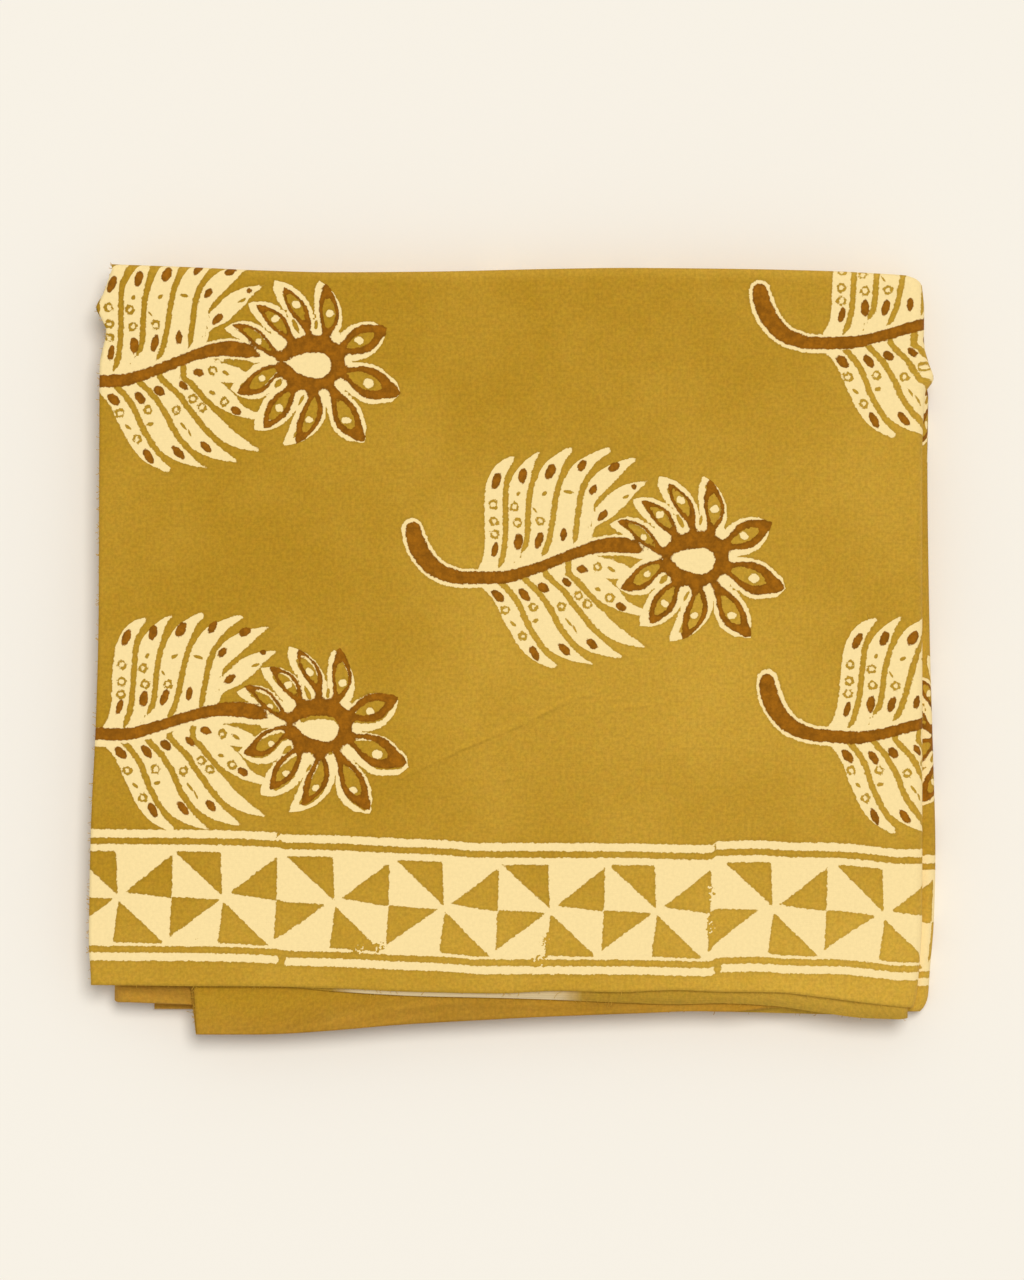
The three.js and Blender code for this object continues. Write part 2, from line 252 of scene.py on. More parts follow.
# The breadth of a petal along its length, both as shares.
PETAL_SHAPE = table(
    "along breadth",
    (0.0, 0.25), (0.15, 0.45), (0.3, 0.73), (0.4, 0.88), (0.5, 0.98), (0.57, 1.0), (0.65, 0.95),
    (0.75, 0.77), (0.83, 0.59), (0.9, 0.46), (0.96, 0.33), (1.0, 0.1), (1.03, 0.0),
)
DISC = {"x": 1.8, "y": 0.9, "long": 12.8, "broad": 10.8, "turn": 0}
CREAM_DISC = 18.0
EYE = table("x y half", (-9.2, 2.0, 0.4), (-5.0, 1.1, 2.3), (0.0, 0.4, 4.4), (4.4, 0.0, 5.0))

# Rings cut in the resist block, which let the dye through.
RINGS = table(
    "x y",
    (-76.6, 21.6), (-76.3, 15.3), (-76.2, 10.2), (-68.4, 20.9), (-67.2, 14.6), (-58.3, 15.3),
    (-71.9, -19.1), (-65.3, -29.2), (-61.1, -17.9), (-50.2, -17.9), (-40.1, -16.7),
    (-36.2, -2.4), (-31.5, -14.4), (-43.6, -13.4),
)
RING_RADIUS = 1.35
RING_HALF = 0.5

# Small ovals, with half their length and half their breadth. On the barbs they are brown. Slots
# are cut in the resist and let the dye through, and dots are resist in the petals.
BROWN, SLOT_CUT, DOT = 0, 1, 2
# A distance that puts an oval of another kind out of reach.
OTHER_KIND = 50.0
OVALS = table(
    "x y long broad turn kind",
    (-75.3, 31.0, 3.4, 1.6, 68, BROWN), (-65.0, 33.3, 3.0, 1.65, 78, BROWN),
    (-54.2, 34.9, 3.2, 1.8, 65, BROWN), (-42.0, 36.8, 2.6, 1.5, 60, BROWN),
    (-29.5, 36.0, 2.5, 1.6, 30, BROWN), (-37.9, 27.3, 2.2, 1.3, 55, BROWN),
    (-34.5, 17.3, 2.6, 1.4, 45, BROWN), (-22.0, 28.6, 1.1, 1.1, 0, BROWN),
    (-76.0, 4.2, 3.1, 1.25, 78, BROWN), (-67.0, 7.5, 3.2, 1.7, 88, BROWN),
    (-59.0, 8.4, 3.3, 1.5, 75, BROWN), (-49.6, 10.3, 2.6, 1.3, 85, BROWN),
    (-74.5, -13.7, 3.0, 1.75, -40, BROWN), (-64.3, -12.9, 2.9, 1.6, -50, BROWN),
    (-57.0, -10.1, 2.4, 1.75, -35, BROWN), (-47.8, -8.2, 2.2, 1.3, -45, BROWN),
    (-42.0, -3.4, 2.2, 1.5, -20, BROWN), (-61.0, -35.5, 3.3, 1.5, -60, BROWN),
    (-49.4, -34.2, 3.2, 1.5, -48, BROWN), (-38.7, -32.3, 2.7, 1.5, -45, BROWN),
    (-27.0, -18.1, 2.3, 1.5, -25, BROWN),
    (-67.0, 25.8, 1.0, 0.7, 60, SLOT_CUT), (-56.6, 26.1, 1.3, 0.7, 35, SLOT_CUT),
    (-60.5, 19.6, 1.3, 0.4, -50, SLOT_CUT), (-47.3, 26.6, 1.8, 0.7, -12, SLOT_CUT),
    (-25.0, 24.8, 1.5, 0.6, 25, SLOT_CUT), (-68.8, -24.5, 1.5, 0.6, -40, SLOT_CUT),
    (-60.2, -23.2, 1.2, 0.8, 20, SLOT_CUT), (-47.3, -24.0, 1.9, 0.5, -50, SLOT_CUT),
    (-45.0, -26.5, 1.8, 0.4, -62, SLOT_CUT), (-30.9, -3.3, 1.7, 0.7, -30, SLOT_CUT),
    (-36.2, -11.0, 1.3, 0.8, -20, SLOT_CUT), (-4.1, 15.2, 3.0, 0.9, -62, SLOT_CUT),
    (3.8, 15.6, 1.9, 0.7, 85, SLOT_CUT), (-10.6, -7.1, 2.1, 1.1, 50, SLOT_CUT),
    (-1.8, -13.7, 2.0, 0.6, 62, SLOT_CUT),
    (-18.4, 9.0, 1.2, 1.2, 0, DOT), (-12.0, 17.9, 1.7, 1.3, 30, DOT),
    (-4.0, 23.4, 1.7, 1.4, -40, DOT), (9.2, 20.0, 1.6, 1.4, 20, DOT),
    (20.5, 9.7, 1.7, 1.4, -30, DOT), (24.3, -6.8, 2.0, 1.8, 0, DOT),
    (15.8, -21.3, 1.7, 1.3, 0, DOT), (1.3, -21.2, 1.4, 1.2, 0, DOT),
    (-10.2, -16.6, 1.6, 1.3, -40, DOT), (-17.0, -5.2, 1.2, 1.2, 0, DOT),
)

# Where the motif is printed on the top panel, from the strip's middle and from the first selvedge's
# line, how it is turned in degrees, and how far the brown block sits off the resist. The last row is
# the one at the last turn. Elsewhere it is printed in staggered columns.
PRINTED = table(
    "u v turn off_u off_v",
    (68.8, 168.4, 0.0, 0.0, 0.0),
    (-80.4, 244.2, -0.4, 0.2, 0.0),
    (-76.6, 101.6, -3.6, -0.4, 1.6),
    (202.6, 254.8, -3.1, 0.0, 0.2),
    (204.5, 98.6, -6.0, 0.2, -0.2),
    (809.0, 99.0, 0.0, 0.2, 0.2),
)
COLUMN_PITCH = 151.5
ROW_PITCH = 143.0
TOP_COLUMNS = table("u first", (68.8, 329.0), (-78.0, 388.0), (203.8, 398.0))
FIRST_FREE_COLUMN = 355.4
LAST_COLUMN = 1160.0
# Broad lighter places in the ground, painted light, each with its reach and its strength.
PAINTED_LIGHT_PATCHES = table("u v size depth", (34, 125, 50, 0.55), (20, 235, 50, 0.08), (150, 230, 40, 0.1))
# How much lighter the ground is elsewhere, from 0 to 1: weak dye all over, painted light to the right and
# along the selvedges, painted shade towards the top, and pale strips at the folds.
PALENESS_AND_PAINTED_LIGHT = {"all": 0.12, "right": 0.22, "top": -0.12, "selvedge": 0.36, "selvedge_right_light": 0.3,
            "folded_edge_wear_and_highlight": 0.42, "first_fold_wear_and_highlight": 0.4}
# The crest of the first fold along the strip, where pressing has worn the dye and a highlight is painted,
# and its breadth.
FIRST_FOLD = 159.3
FOLD_BREADTH = 1.5
PLACES_SEED = 7
PLAIN_MARGIN = 96.0
# No motif is printed right on the middle fold, and its neighbours stay clear of it.
MIDDLE_FOLD = 565.0
CLEAR_OF_FOLD = 58.0
# The ground at the crumpled middle fold is multiplied by this tint.
FOLD_TINT = (0.945, 0.875, 1.25, 1.0)
# The diamond round each motif that is its own: half its diagonals, and its middle off the flower's.
CELL = {"x": 141.2, "y": 72.7, "shift_x": -37.7, "shift_y": 1.6}

# The border runs along each selvedge. centre is how far its middle lies from the selvedge's line.
SELVEDGE_LINE = -134.0
BORDER_LINE = table(
    "u centre",
    (-166, 38.9), (-126, 38.7), (-90.6, 37.6), (-89.2, 37.0), (-68.6, 36.5), (-48, 35.5),
    (-26, 34.6), (-13, 33.6), (40, 33.5), (76, 32.8), (79, 34.2), (94, 34.6), (108, 33.8),
    (124, 33.6), (137, 32.6), (150, 31.2), (330, 34.0), (640, 34.0), (780, 28.6), (830, 28.6),
)
BORDER = {"band": 19.7, "gap": 2.6, "line": 3.1}
HUBS = (-194.8, -153.3, -112.8, -69.3, -26.9, 14.2, 55.4, 100.5, 143.6)
HUB_PITCH = 42.2
WHEEL = (
    ((-18.6, 17.4), (-0.6, 17.5), (-0.1, 0.4)),
    ((2.6, 1.5), (21.3, 16.4), (20.9, -0.7)),
    ((0.3, -1.6), (-2.0, -17.9), (18.0, -18.3)),
    ((20.8, -0.2), (40.0, -1.0), (19.9, -15.9)),
)
BLOCK = 169.0
LINE_BREAKS = table("u side half", (-89.4, 1, 0.5), (-90.6, -1, 0.7), (77.0, -1, 0.8))

# Places on the border where mud got under the block or the dye broke through it.
SMUDGES = table(
    "u v radius",
    (78.5, 27.5, 6.0), (76.0, 40.0, 3.5), (10.5, 13.5, 3.5), (-121.5, 22.5, 2.5),
    (-60.0, 19.5, 4.0), (-52.0, 19.0, 3.0), (12.0, 21.0, 3.5),
)
# The top layer's reach on the flat cloth, and how far the map for baking spreads a rim.
TOP_LAYER = {"u": 160.0, "v": 283.0}
RIM_REACH = 3.0

# Loose threads. Long ones hang at listed places, by their place, their direction and their rise.
LONG_THREADS = table(
    "x y z angle rise",
    (19.0, -132.6, 20.2, -150, -8), (27.0, -133.0, 20.2, -70, -10), (33.0, -132.8, 20.2, -35, -6),
    (37.5, -133.2, 20.2, -100, -12), (-121.6, -139.5, 12.0, 200, -5), (-122.0, -143.0, 12.0, 170, -8),
    (137.2, 15.2, 21.6, -75, 1),
)

# The bare selvedge shows pale along part of the fourth quarter's edge.
BARE_EDGE = {"from": -72.0, "to": 28.0, "fade": 13.0, "depth": 2.2}

# The stage. The light's direction has no unit, and the floor's half side is in metres.
FROM_SUN = (0.14, 0.26, 1.0)
SUN_SPREAD = 25.0
FLOOR_HALF = 20.0
CAMERA_OFF_MIDDLE = {"x": -0.39, "y": 3.69}
SENSOR = 36.0


def linear(hex_colour):
    """An sRGB hex colour as Blender's linear red, green, blue and alpha."""
    channels = [int(hex_colour[i:i + 2], 16) / 255 for i in (1, 3, 5)]
    bright = [c / 12.92 if c <= 0.04045 else ((c + 0.055) / 1.055) ** 2.4 for c in channels]
    return (*bright, 1.0)


def add(tree, kind, *values, named=None, output=0, **settings):
    """Adds a node, sets its properties and its inputs in order or by name, and gives an output."""
    node = tree.nodes.new(kind)
    for name, value in settings.items():
        setattr(node, name, value)
    shown = [socket for socket in node.inputs if socket.enabled]
    wanted = list(zip(shown, values))
    wanted += [(node.inputs[name], value) for name, value in (named or {}).items()]
    for socket, value in wanted:
        if isinstance(value, bpy.types.NodeSocket):
            tree.links.new(value, socket)
        elif value is not None:
            socket.default_value = value
    outputs = [socket for socket in node.outputs if socket.enabled]
    return outputs[output] if outputs else node


def smooth(value, low, high):
    """0 below low, 1 above high, and a soft step between them."""
    share = np.clip((value - low) / (high - low), 0, 1)
    return share * share * (3 - 2 * share)


def mix(a, b, share):
    return a + (b - a) * share


def read(rows, key, place, column):
    """A table's column between its rows, as a smooth curve that never swings past a row."""
    x, y = rows[key], rows[column]
    slope = np.diff(y) / np.diff(x)
    same_way = slope[1:] * slope[:-1] > 0
    total = np.where(same_way, slope[1:] + slope[:-1], 1)
    inner = np.where(same_way, 2 * slope[1:] * slope[:-1] / total, 0)
    tangent = np.concatenate([slope[:1], inner, slope[-1:]])
    place = np.clip(place, x[0], x[-1])
    row = np.clip(np.searchsorted(x, place, side="right") - 1, 0, len(x) - 2)
    span = x[row + 1] - x[row]
    t = (place - x[row]) / span
    rise = y[row + 1] - y[row]
    start, end = tangent[row] * span, tangent[row + 1] * span
    return y[row] + t * (start + t * (3 * rise - 2 * start - end + t * (start + end - 2 * rise)))


def new_material(name):
    """A material with an empty node tree, and that tree."""
    material = bpy.data.materials.new(name)
    material.use_nodes = True
    material.node_tree.nodes.clear()
    return material, material.node_tree


def matt_material(name, colour, roughness, specular):
    """A plain matt finish, for what is too fine or too far off to show a grain."""
    material, tree = new_material(name)
    shader = add(tree, "ShaderNodeBsdfPrincipled", named={
        "Base Color": tuple(colour), "Roughness": roughness, "Specular IOR Level": specular})
    add(tree, "ShaderNodeOutputMaterial", shader)
    return material


class FoldSettings(bpy.types.PropertyGroup):
    """Sizes of the folded sheet."""

    thickness: bpy.props.FloatProperty(
        name="Cloth Thickness", description="Thickness of the sheet between its two sides",
        default=0.6 * MM, min=0.2 * MM, max=0.9 * MM, precision=5, unit="LENGTH")
    spacing: bpy.props.FloatProperty(
        name="Mesh Spacing", description="Distance between mesh lines where the print shows",
        default=1.45 * MM, min=1.2 * MM, max=6 * MM, precision=5, unit="LENGTH")
    drift: bpy.props.FloatProperty(
        name="Layer Drift", description="How far a layer wanders up and down from its even place",
        default=0.2 * MM, min=0, max=0.3 * MM, precision=5, unit="LENGTH")
    crease_depth: bpy.props.FloatProperty(
        name="Crease Depth", description="Height of the pressed creases in the top layer",
        default=0.34 * MM, min=0, max=0.6 * MM, precision=5, unit="LENGTH")
    crease_width: bpy.props.FloatProperty(
        name="Crease Width", description="How far a crease's flank runs",
        default=2.6 * MM, min=1 * MM, max=8 * MM, precision=5, unit="LENGTH")


class PrintSettings(bpy.types.PropertyGroup):
    """Colours and sizes of the print and the weave."""

    mustard: bpy.props.FloatVectorProperty(
        name="Mustard", description="Dyed ground of the cotton", subtype="COLOR", size=4,
        default=linear("#B58922"))
    cream: bpy.props.FloatVectorProperty(
        name="Cream", description="Undyed cotton, where the mud kept the dye out", subtype="COLOR",
        size=4, default=linear("#FCE1A1"))
    brown: bpy.props.FloatVectorProperty(
        name="Brown", description="Printed brown of the second block", subtype="COLOR", size=4,
        default=linear("#925A0D"))
    # A lighter mustard that the ground is blended towards: where the dye took more weakly, and for
    # painted light.
    faded_and_lit_mustard: bpy.props.FloatVectorProperty(
        name="Faded and Lit Mustard", description="Dye where it took more weakly", subtype="COLOR", size=4,
        default=linear("#D0A43B"))
    bare: bpy.props.FloatVectorProperty(
        name="Bare Selvedge", description="Undyed edge of the cloth", subtype="COLOR", size=4,
        default=linear("#F4DAA8"))
    outline: bpy.props.FloatProperty(
        name="Resist Outline", description="Width of the cream line around the stem and petals",
        default=1.2 * MM, min=0, max=4 * MM, precision=5, unit="LENGTH")
    wobble: bpy.props.FloatProperty(
        name="Edge Wobble", description="How far a printed edge wanders from its block's edge",
        default=1.5 * MM, min=0, max=4 * MM, precision=5, unit="LENGTH")
    thread: bpy.props.FloatProperty(
        name="Thread Spacing", description="Distance between threads, drawn coarse enough to show",
        default=0.8 * MM, min=0.3 * MM, max=2 * MM, precision=5, unit="LENGTH")


class ThreadSettings(bpy.types.PropertyGroup):
    """Loose threads along the rims."""

    radius: bpy.props.FloatProperty(
        name="Thread Radius", description="Half the thickness of a loose thread",
        default=0.09 * MM, min=0.02 * MM, max=0.5 * MM, precision=6, unit="LENGTH")
    short_length: bpy.props.FloatProperty(
        name="Fray Length", description="Usual length of a fray on a cut end",
        default=1.1 * MM, min=0.2 * MM, max=4 * MM, precision=5, unit="LENGTH")
    long_length: bpy.props.FloatProperty(
        name="Long Thread", description="Usual length of the few long threads",
        default=5.0 * MM, min=1 * MM, max=9 * MM, precision=5, unit="LENGTH")
    fray_spacing: bpy.props.FloatProperty(
        name="Fray Spacing", description="Distance between frays along the cut ends",
        default=2.2 * MM, min=0.5 * MM, max=20 * MM, precision=5, unit="LENGTH")
    selvedge_spacing: bpy.props.FloatProperty(
        name="Selvedge Spacing", description="Distance between frays along the selvedges",
        default=9 * MM, min=1 * MM, max=50 * MM, precision=5, unit="LENGTH")
    seed: bpy.props.IntProperty(
        name="Seed", description="Picks another scatter of threads", default=11, min=0)


class StageSettings(bpy.types.PropertyGroup):
    """Floor, light and camera."""

    floor: bpy.props.FloatVectorProperty(
        name="Floor", description="Colour of the studio floor", subtype="COLOR", size=4,
        default=linear("#F8F2E6"))
    sun_share: bpy.props.FloatProperty(
        name="Sun Share", description="Share of the light that comes from one side",
        default=0.5, min=0, max=1)
    lens: bpy.props.FloatProperty(
        name="Lens", description="Focal length of the camera", default=250, min=20, max=300,
        unit="CAMERA")
    long_side: bpy.props.FloatProperty(
        name="Framed Length", description="Length of the top layer that fills the picture's long side",
        default=495.9 * MM, min=0.1, max=2, unit="LENGTH")


def quarter_column(name, points):
    """A quarter's value at each point of the section, blended around the folds."""
    values = QUARTERS[name]
    return mix(values[points["first"]], values[points["last"]], points["share"])


def strip_section(spacing):
    """The strip's section across the width, from the first selvedge to the last, as in the model.

    height runs from 0 at the foot of a quarter to 1 at its folded edge. foot says which foot edge
    it ends at, and rise and depth carry it around a fold. face_y and face_depth point out of the
    printed face. first and last are the quarters that a point lies between.
    """
    columns = {name: [] for name in
               "height foot rise depth face_y face_depth first last share".split()}

    def point(**values):
        for name, column in columns.items():
            column.append(values[name])

    def quarter(index, heights, foot, up):
        for height in (heights if up else heights[::-1]):
            point(height=height, foot=foot, rise=0.0, depth=QUARTERS["offset"][index] * PITCH,
                  face_y=0.0, face_depth=1.0 if up else -1.0, first=index, last=index, share=0.0)

    def fold(first, last, height, outside):
        start, end = QUARTERS["offset"][first], QUARTERS["offset"][last]
        centre, radius = (start + end) / 2 * PITCH, abs(start - end) / 2 * PITCH
        way, turn = (1 if height == 1 else -1), math.copysign(1, start - end)
        side = 1 if outside else -1
        for step in range(1, FOLD_STEPS):
            angle = math.pi * step / FOLD_STEPS
            up, deep = way * math.sin(angle), turn * math.cos(angle)
            point(height=float(height), foot="plain_fold", rise=radius * up,
                  depth=centre + radius * deep, face_y=side * up, face_depth=side * deep,
                  first=first, last=last, share=step / FOLD_STEPS)

    breadth = SIDES["y"][-1] - SIDES["y"][0]
    shown = np.linspace(0, 1, round(breadth / spacing) + 1)
    even = np.linspace(0, 1, HIDDEN_POINTS)
    hidden = mix(even, smooth(even, 0, 1), 0.6)
    quarter(FIRST, shown, "selvedge", True)
    fold(FIRST, SECOND, 1, True)
    quarter(SECOND, hidden, "plain_fold", False)
    fold(SECOND, THIRD, 0, True)
    quarter(THIRD, hidden, "plain_fold", True)
    fold(THIRD, FOURTH, 1, False)
    quarter(FOURTH, hidden, "next_selvedge", False)
    points = {name: np.array(column) for name, column in columns.items()}
    points["shown"] = (points["first"] == FIRST) & (points["last"] == FIRST)
    points["turned_in"] = np.where(points["foot"] == "plain_fold", CAD_SHEET / 2 + PITCH / 2, 0)
    return points


def side_at(points, column):
    """A side of the bundle. The first quarter follows its table, and the others run straight."""
    y, values = SIDES["y"], SIDES[column]
    curved = read(SIDES, "y", mix(y[0], y[-1], points["height"]), column)
    return np.where(points["shown"], curved, mix(values[0], values[-1], points["height"]))


def inset(points, foot, top):
    """How far a cut end or a turn lies in from the outermost quarter's."""
    return mix(quarter_column(foot, points), quarter_column(top, points), points["height"])


def turn_side(turn):
    return -1 if turn == 1 else 1


def turn_centre(points, turn):
    """Where a turn's middle lies along X. The middle turn is on the left."""
    if turn == 1:
        edge = mix(LEFT_TURN["foot"], LEFT_TURN["top"], points["height"])
    else:
        edge = side_at(points, "last_turn" if turn else "first_turn")
    return edge - turn_side(turn) * (OUTER_REACH + inset(points, f"foot_{turn}", f"top_{turn}"))


def panel_ends(points, panel):
    """The left and the right end of a panel, along X."""
    right = turn_centre(points, 0 if panel < 2 else 2)
    if panel == 0:
        return side_at(points, "cut") + inset(points, "cut_foot", "cut_top"), right
    if panel == PANELS - 1:
        return mix(FREE_END["foot"], FREE_END["top"], points["height"]), right
    return turn_centre(points, 1), right


def panel_edges(panel, share):
    """A panel's foot edges at a share of its length, and how far its folded edge lies in."""
    if panel == 0:
        x = mix(TOP_PANEL["x"][0], TOP_PANEL["x"][-1], share)
        names = ("selvedge", "plain_fold", "next_selvedge")
        return {"folded_in": 0.0, **{name: float(read(TOP_PANEL, "x", x, name)) for name in names}}
    row = {name: values[panel - 1] for name, values in LOWER_PANELS.items()}
    return {
        "folded_in": row["folded_in"],
        "selvedge": mix(row["selvedge_l"], row["selvedge_r"], share),
        "plain_fold": mix(row["plain_l"], row["plain_r"], share)
        - row["belly"] * math.sin(math.pi * share),
        "next_selvedge": mix(row["next_l"], row["next_r"], share),
    }


def panel_middle(panel):
    return CAD_SHEET / 2 + PITCH * (4 * (PANELS - panel) - 2.5)


def strip_stations(spacing):
    """Stations along the strip, from the cut end on top to the free end at the bottom."""
    length = TOP_PANEL["x"][-1] - TOP_PANEL["x"][0]
    top = np.linspace(0, 1, round(length / spacing) + 1)
    stations = []
    for panel in range(PANELS):
        shares = top if panel == 0 else np.array(LOWER_STATIONS)
        for share in (shares if panel % 2 == 0 else shares[::-1]):
            stations.append({"panel": panel, "share": share, "edges": panel_edges(panel, share)})
        if panel == PANELS - 1:
            break
        end = 1 - panel % 2
        before, after = panel_edges(panel, end), panel_edges(panel + 1, end)
        for step in range(1, TURN_STEPS):
            share = step / TURN_STEPS
            edges = {name: mix(before[name], after[name], share) for name in before}
            stations.append({"turn": panel, "share": share, "edges": edges})
    return stations


def fullness(x, y):
    """The bundle is a little fuller along its folded edge and in soft waves."""
    wave = 0.02 * (1 + np.sin(x / 62 + 0.6) * np.cos(y / 47))
    return 1 + wave + 0.02 * smooth(y, 0, 150)


def crease_lines(x, y):
    """For each crease, how far off it a place lies, to which side, and its fade there."""
    lines = []
    for crease in CREASES:
        best = np.full_like(x, 1e9)
        side, fade = np.zeros_like(x), np.zeros_like(x)
        for k in range(len(crease["x"]) - 1):
            ax, ay = crease["x"][k], crease["y"][k]
            dx, dy = crease["x"][k + 1] - ax, crease["y"][k + 1] - ay
            share = np.clip(((x - ax) * dx + (y - ay) * dy) / (dx * dx + dy * dy), 0, 1)
            off_x, off_y = x - ax - share * dx, y - ay - share * dy
            far = np.hypot(off_x, off_y)
            near = far < best
            best = np.where(near, far, best)
            side = np.where(near, (dx * off_y - dy * off_x) / math.hypot(dx, dy), side)
            fade = np.where(near, mix(crease["fade"][k], crease["fade"][k + 1], share), fade)
        lines.append((best, side, fade))
    return lines


def crease_height(x, y, width):
    """Height of the creases, each a soft ridge with a trough on its lower side."""
    height = np.zeros_like(x)
    for far, side, fade in crease_lines(x, y):
        profile = np.exp(-(side / width) ** 2) - 0.5 * np.exp(-(side / width + 1.6) ** 2)
        height += fade * profile * (far < 6 * width)
    return height


def place(station, points, side, settings):
    """The section at a station, on the printed face (side 1) or the wrong side (side -1)."""
    depth = points["depth"] + side * points["face_depth"] * settings["thickness"] / 2
    edges = station["edges"]
    if "panel" in station:
        panel = station["panel"]
        left, right = panel_ends(points, panel)
        x = mix(left, right, station["share"])
        z = panel_middle(panel) + (1 if panel % 2 == 0 else -1) * depth
        if panel == 0:
            upper = (QUARTERS["offset"][points["first"]] > 0) & (QUARTERS["offset"][points["last"]] > 0)
            inner_end = side_at(points, "cut") + mix(
                QUARTERS["cut_foot"][SECOND], QUARTERS["cut_top"][SECOND], points["height"])
            z -= np.where(upper, SAG_DEPTH * smooth(inner_end - SAG_START - x, 0, SAG_RUN), 0)
    else:
        turn = station["turn"]
        radius = TURN_RADIUS + turn_side(turn) * depth
        angle = math.pi * station["share"]
        x = turn_centre(points, turn) + turn_side(turn) * radius * math.sin(angle)
        z = panel_middle(turn) - TURN_RADIUS + radius * math.cos(angle)
    foot = np.array([edges[name] for name in points["foot"]]) + points["turned_in"]
    top = read(FOLDED_EDGE, "x", x, "y") - edges["folded_in"] - CAD_SHEET / 2 - 1.5 * PITCH
    y = mix(foot, top, points["height"]) + points["rise"]
    y = y + side * points["face_y"] * settings["thickness"] / 2
    return x, y, z * fullness(x, y)


def strip_length(station, x, points):
    """How far along the cloth a point lies. The top panel keeps its own X, so that it starts there."""
    arc = math.pi * (TURN_RADIUS + 1.5 * PITCH)
    first, left, last = TURN_PLACES
    starts = {0: (0.0, 1), 1: (2 * first + arc, -1), 2: (2 * (first - left) + 2 * arc, 1),
              3: (2 * (first - left + last) + 3 * arc, -1)}
    if "panel" in station:
        offset, way = starts[station["panel"]]
        return offset + way * x
    turn = station["turn"]
    centre = turn_centre(points, turn)
    before, after = (starts[panel][0] + starts[panel][1] * centre for panel in (turn, turn + 1))
    return mix(before, after, station["share"])


class Sheet:
    """The folded sheet's points, and where each of them lies on the flat cloth, in millimetres."""

    def __init__(self, fold):
        settings = {name: getattr(fold, name) / MM for name in
                    ("thickness", "spacing", "drift", "crease_depth", "crease_width")}
        self.points = strip_section(settings["spacing"])
        self.stations = strip_stations(settings["spacing"])
        faces, along = {1: [], -1: []}, []
        for station in self.stations:
            for side in faces:
                faces[side].append(place(station, self.points, side, settings))
            along.append(strip_length(station, faces[1][-1][0], self.points))
        self.face, self.wrong = (np.array(faces[side]).transpose(0, 2, 1) for side in (1, -1))
        middle = (self.face + self.wrong) / 2
        self.u = np.array(along)
        steps = np.linalg.norm(np.diff(middle[:, :, 1:], axis=1), axis=2)
        start = middle[:, :1, 1] - SELVEDGE_LINE
        self.v = np.concatenate([start, start + np.cumsum(steps, axis=1)], axis=1)
        self.far_edge = self.v[:, -1:] + 0 * self.v
        self.flat = (float(self.v[:, -1].mean()) * MM, float(np.ptp(self.u)) * MM)
        self._relax(middle, settings)
        self._centre()

    def _relax(self, middle, settings):
        """Uneven air between the layers, and the creases of the top one."""
        x, y, z = middle.transpose(2, 0, 1)
        waves = (np.sin(self.u / 41 + 1.3) * np.cos(self.v / 37)
                 + 0.6 * np.sin(self.u / 17 - self.v / 29 + 0.4)
                 + 0.4 * np.cos(self.v / 13 + self.u / 53))
        lift = settings["drift"] * waves / 2 * smooth(z, 0.4, 4)
        top = np.array([station.get("panel") == 0 for station in self.stations])[:, None]
        shown = top & self.points["shown"][None, :]
        creases = settings["crease_depth"] * crease_height(x, y, settings["crease_width"])
        curl = CURL["lift"] * np.exp(-((y - y[:, :1]) / CURL["reach"]) ** 2)
        curl = curl * smooth(self.u, CURL["from"], CURL["full"])
        curl = curl * smooth(-self.u, -CURL["to"], -CURL["fade"])
        lift = lift + np.where(shown, creases + curl, 0)
        self.face[:, :, 2] += lift
        self.wrong[:, :, 2] += lift

    def _centre(self):
        """Sets the sheet over the middle of the model."""
        low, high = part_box(NODE)
        both = np.concatenate([self.face, self.wrong])
        shift = np.array(low + high) / 2 / MM - (both.min((0, 1)) + both.max((0, 1))) / 2
        self.face[:, :, :2] += shift[:2]
        self.wrong[:, :, :2] += shift[:2]


def kept_steps(dense, count):
    """Which lines the wrong side keeps: all but those between every few in a dense stretch."""
    kept = [k for k in range(count) if not dense[k] or k % WRONG_SIDE_STRIDE == 0]
    ends = [k for k in range(count - 1) if dense[k] != dense[k + 1]]
    return sorted(set(kept) | set(ends) | {k + 1 for k in ends} | {0, count - 1})


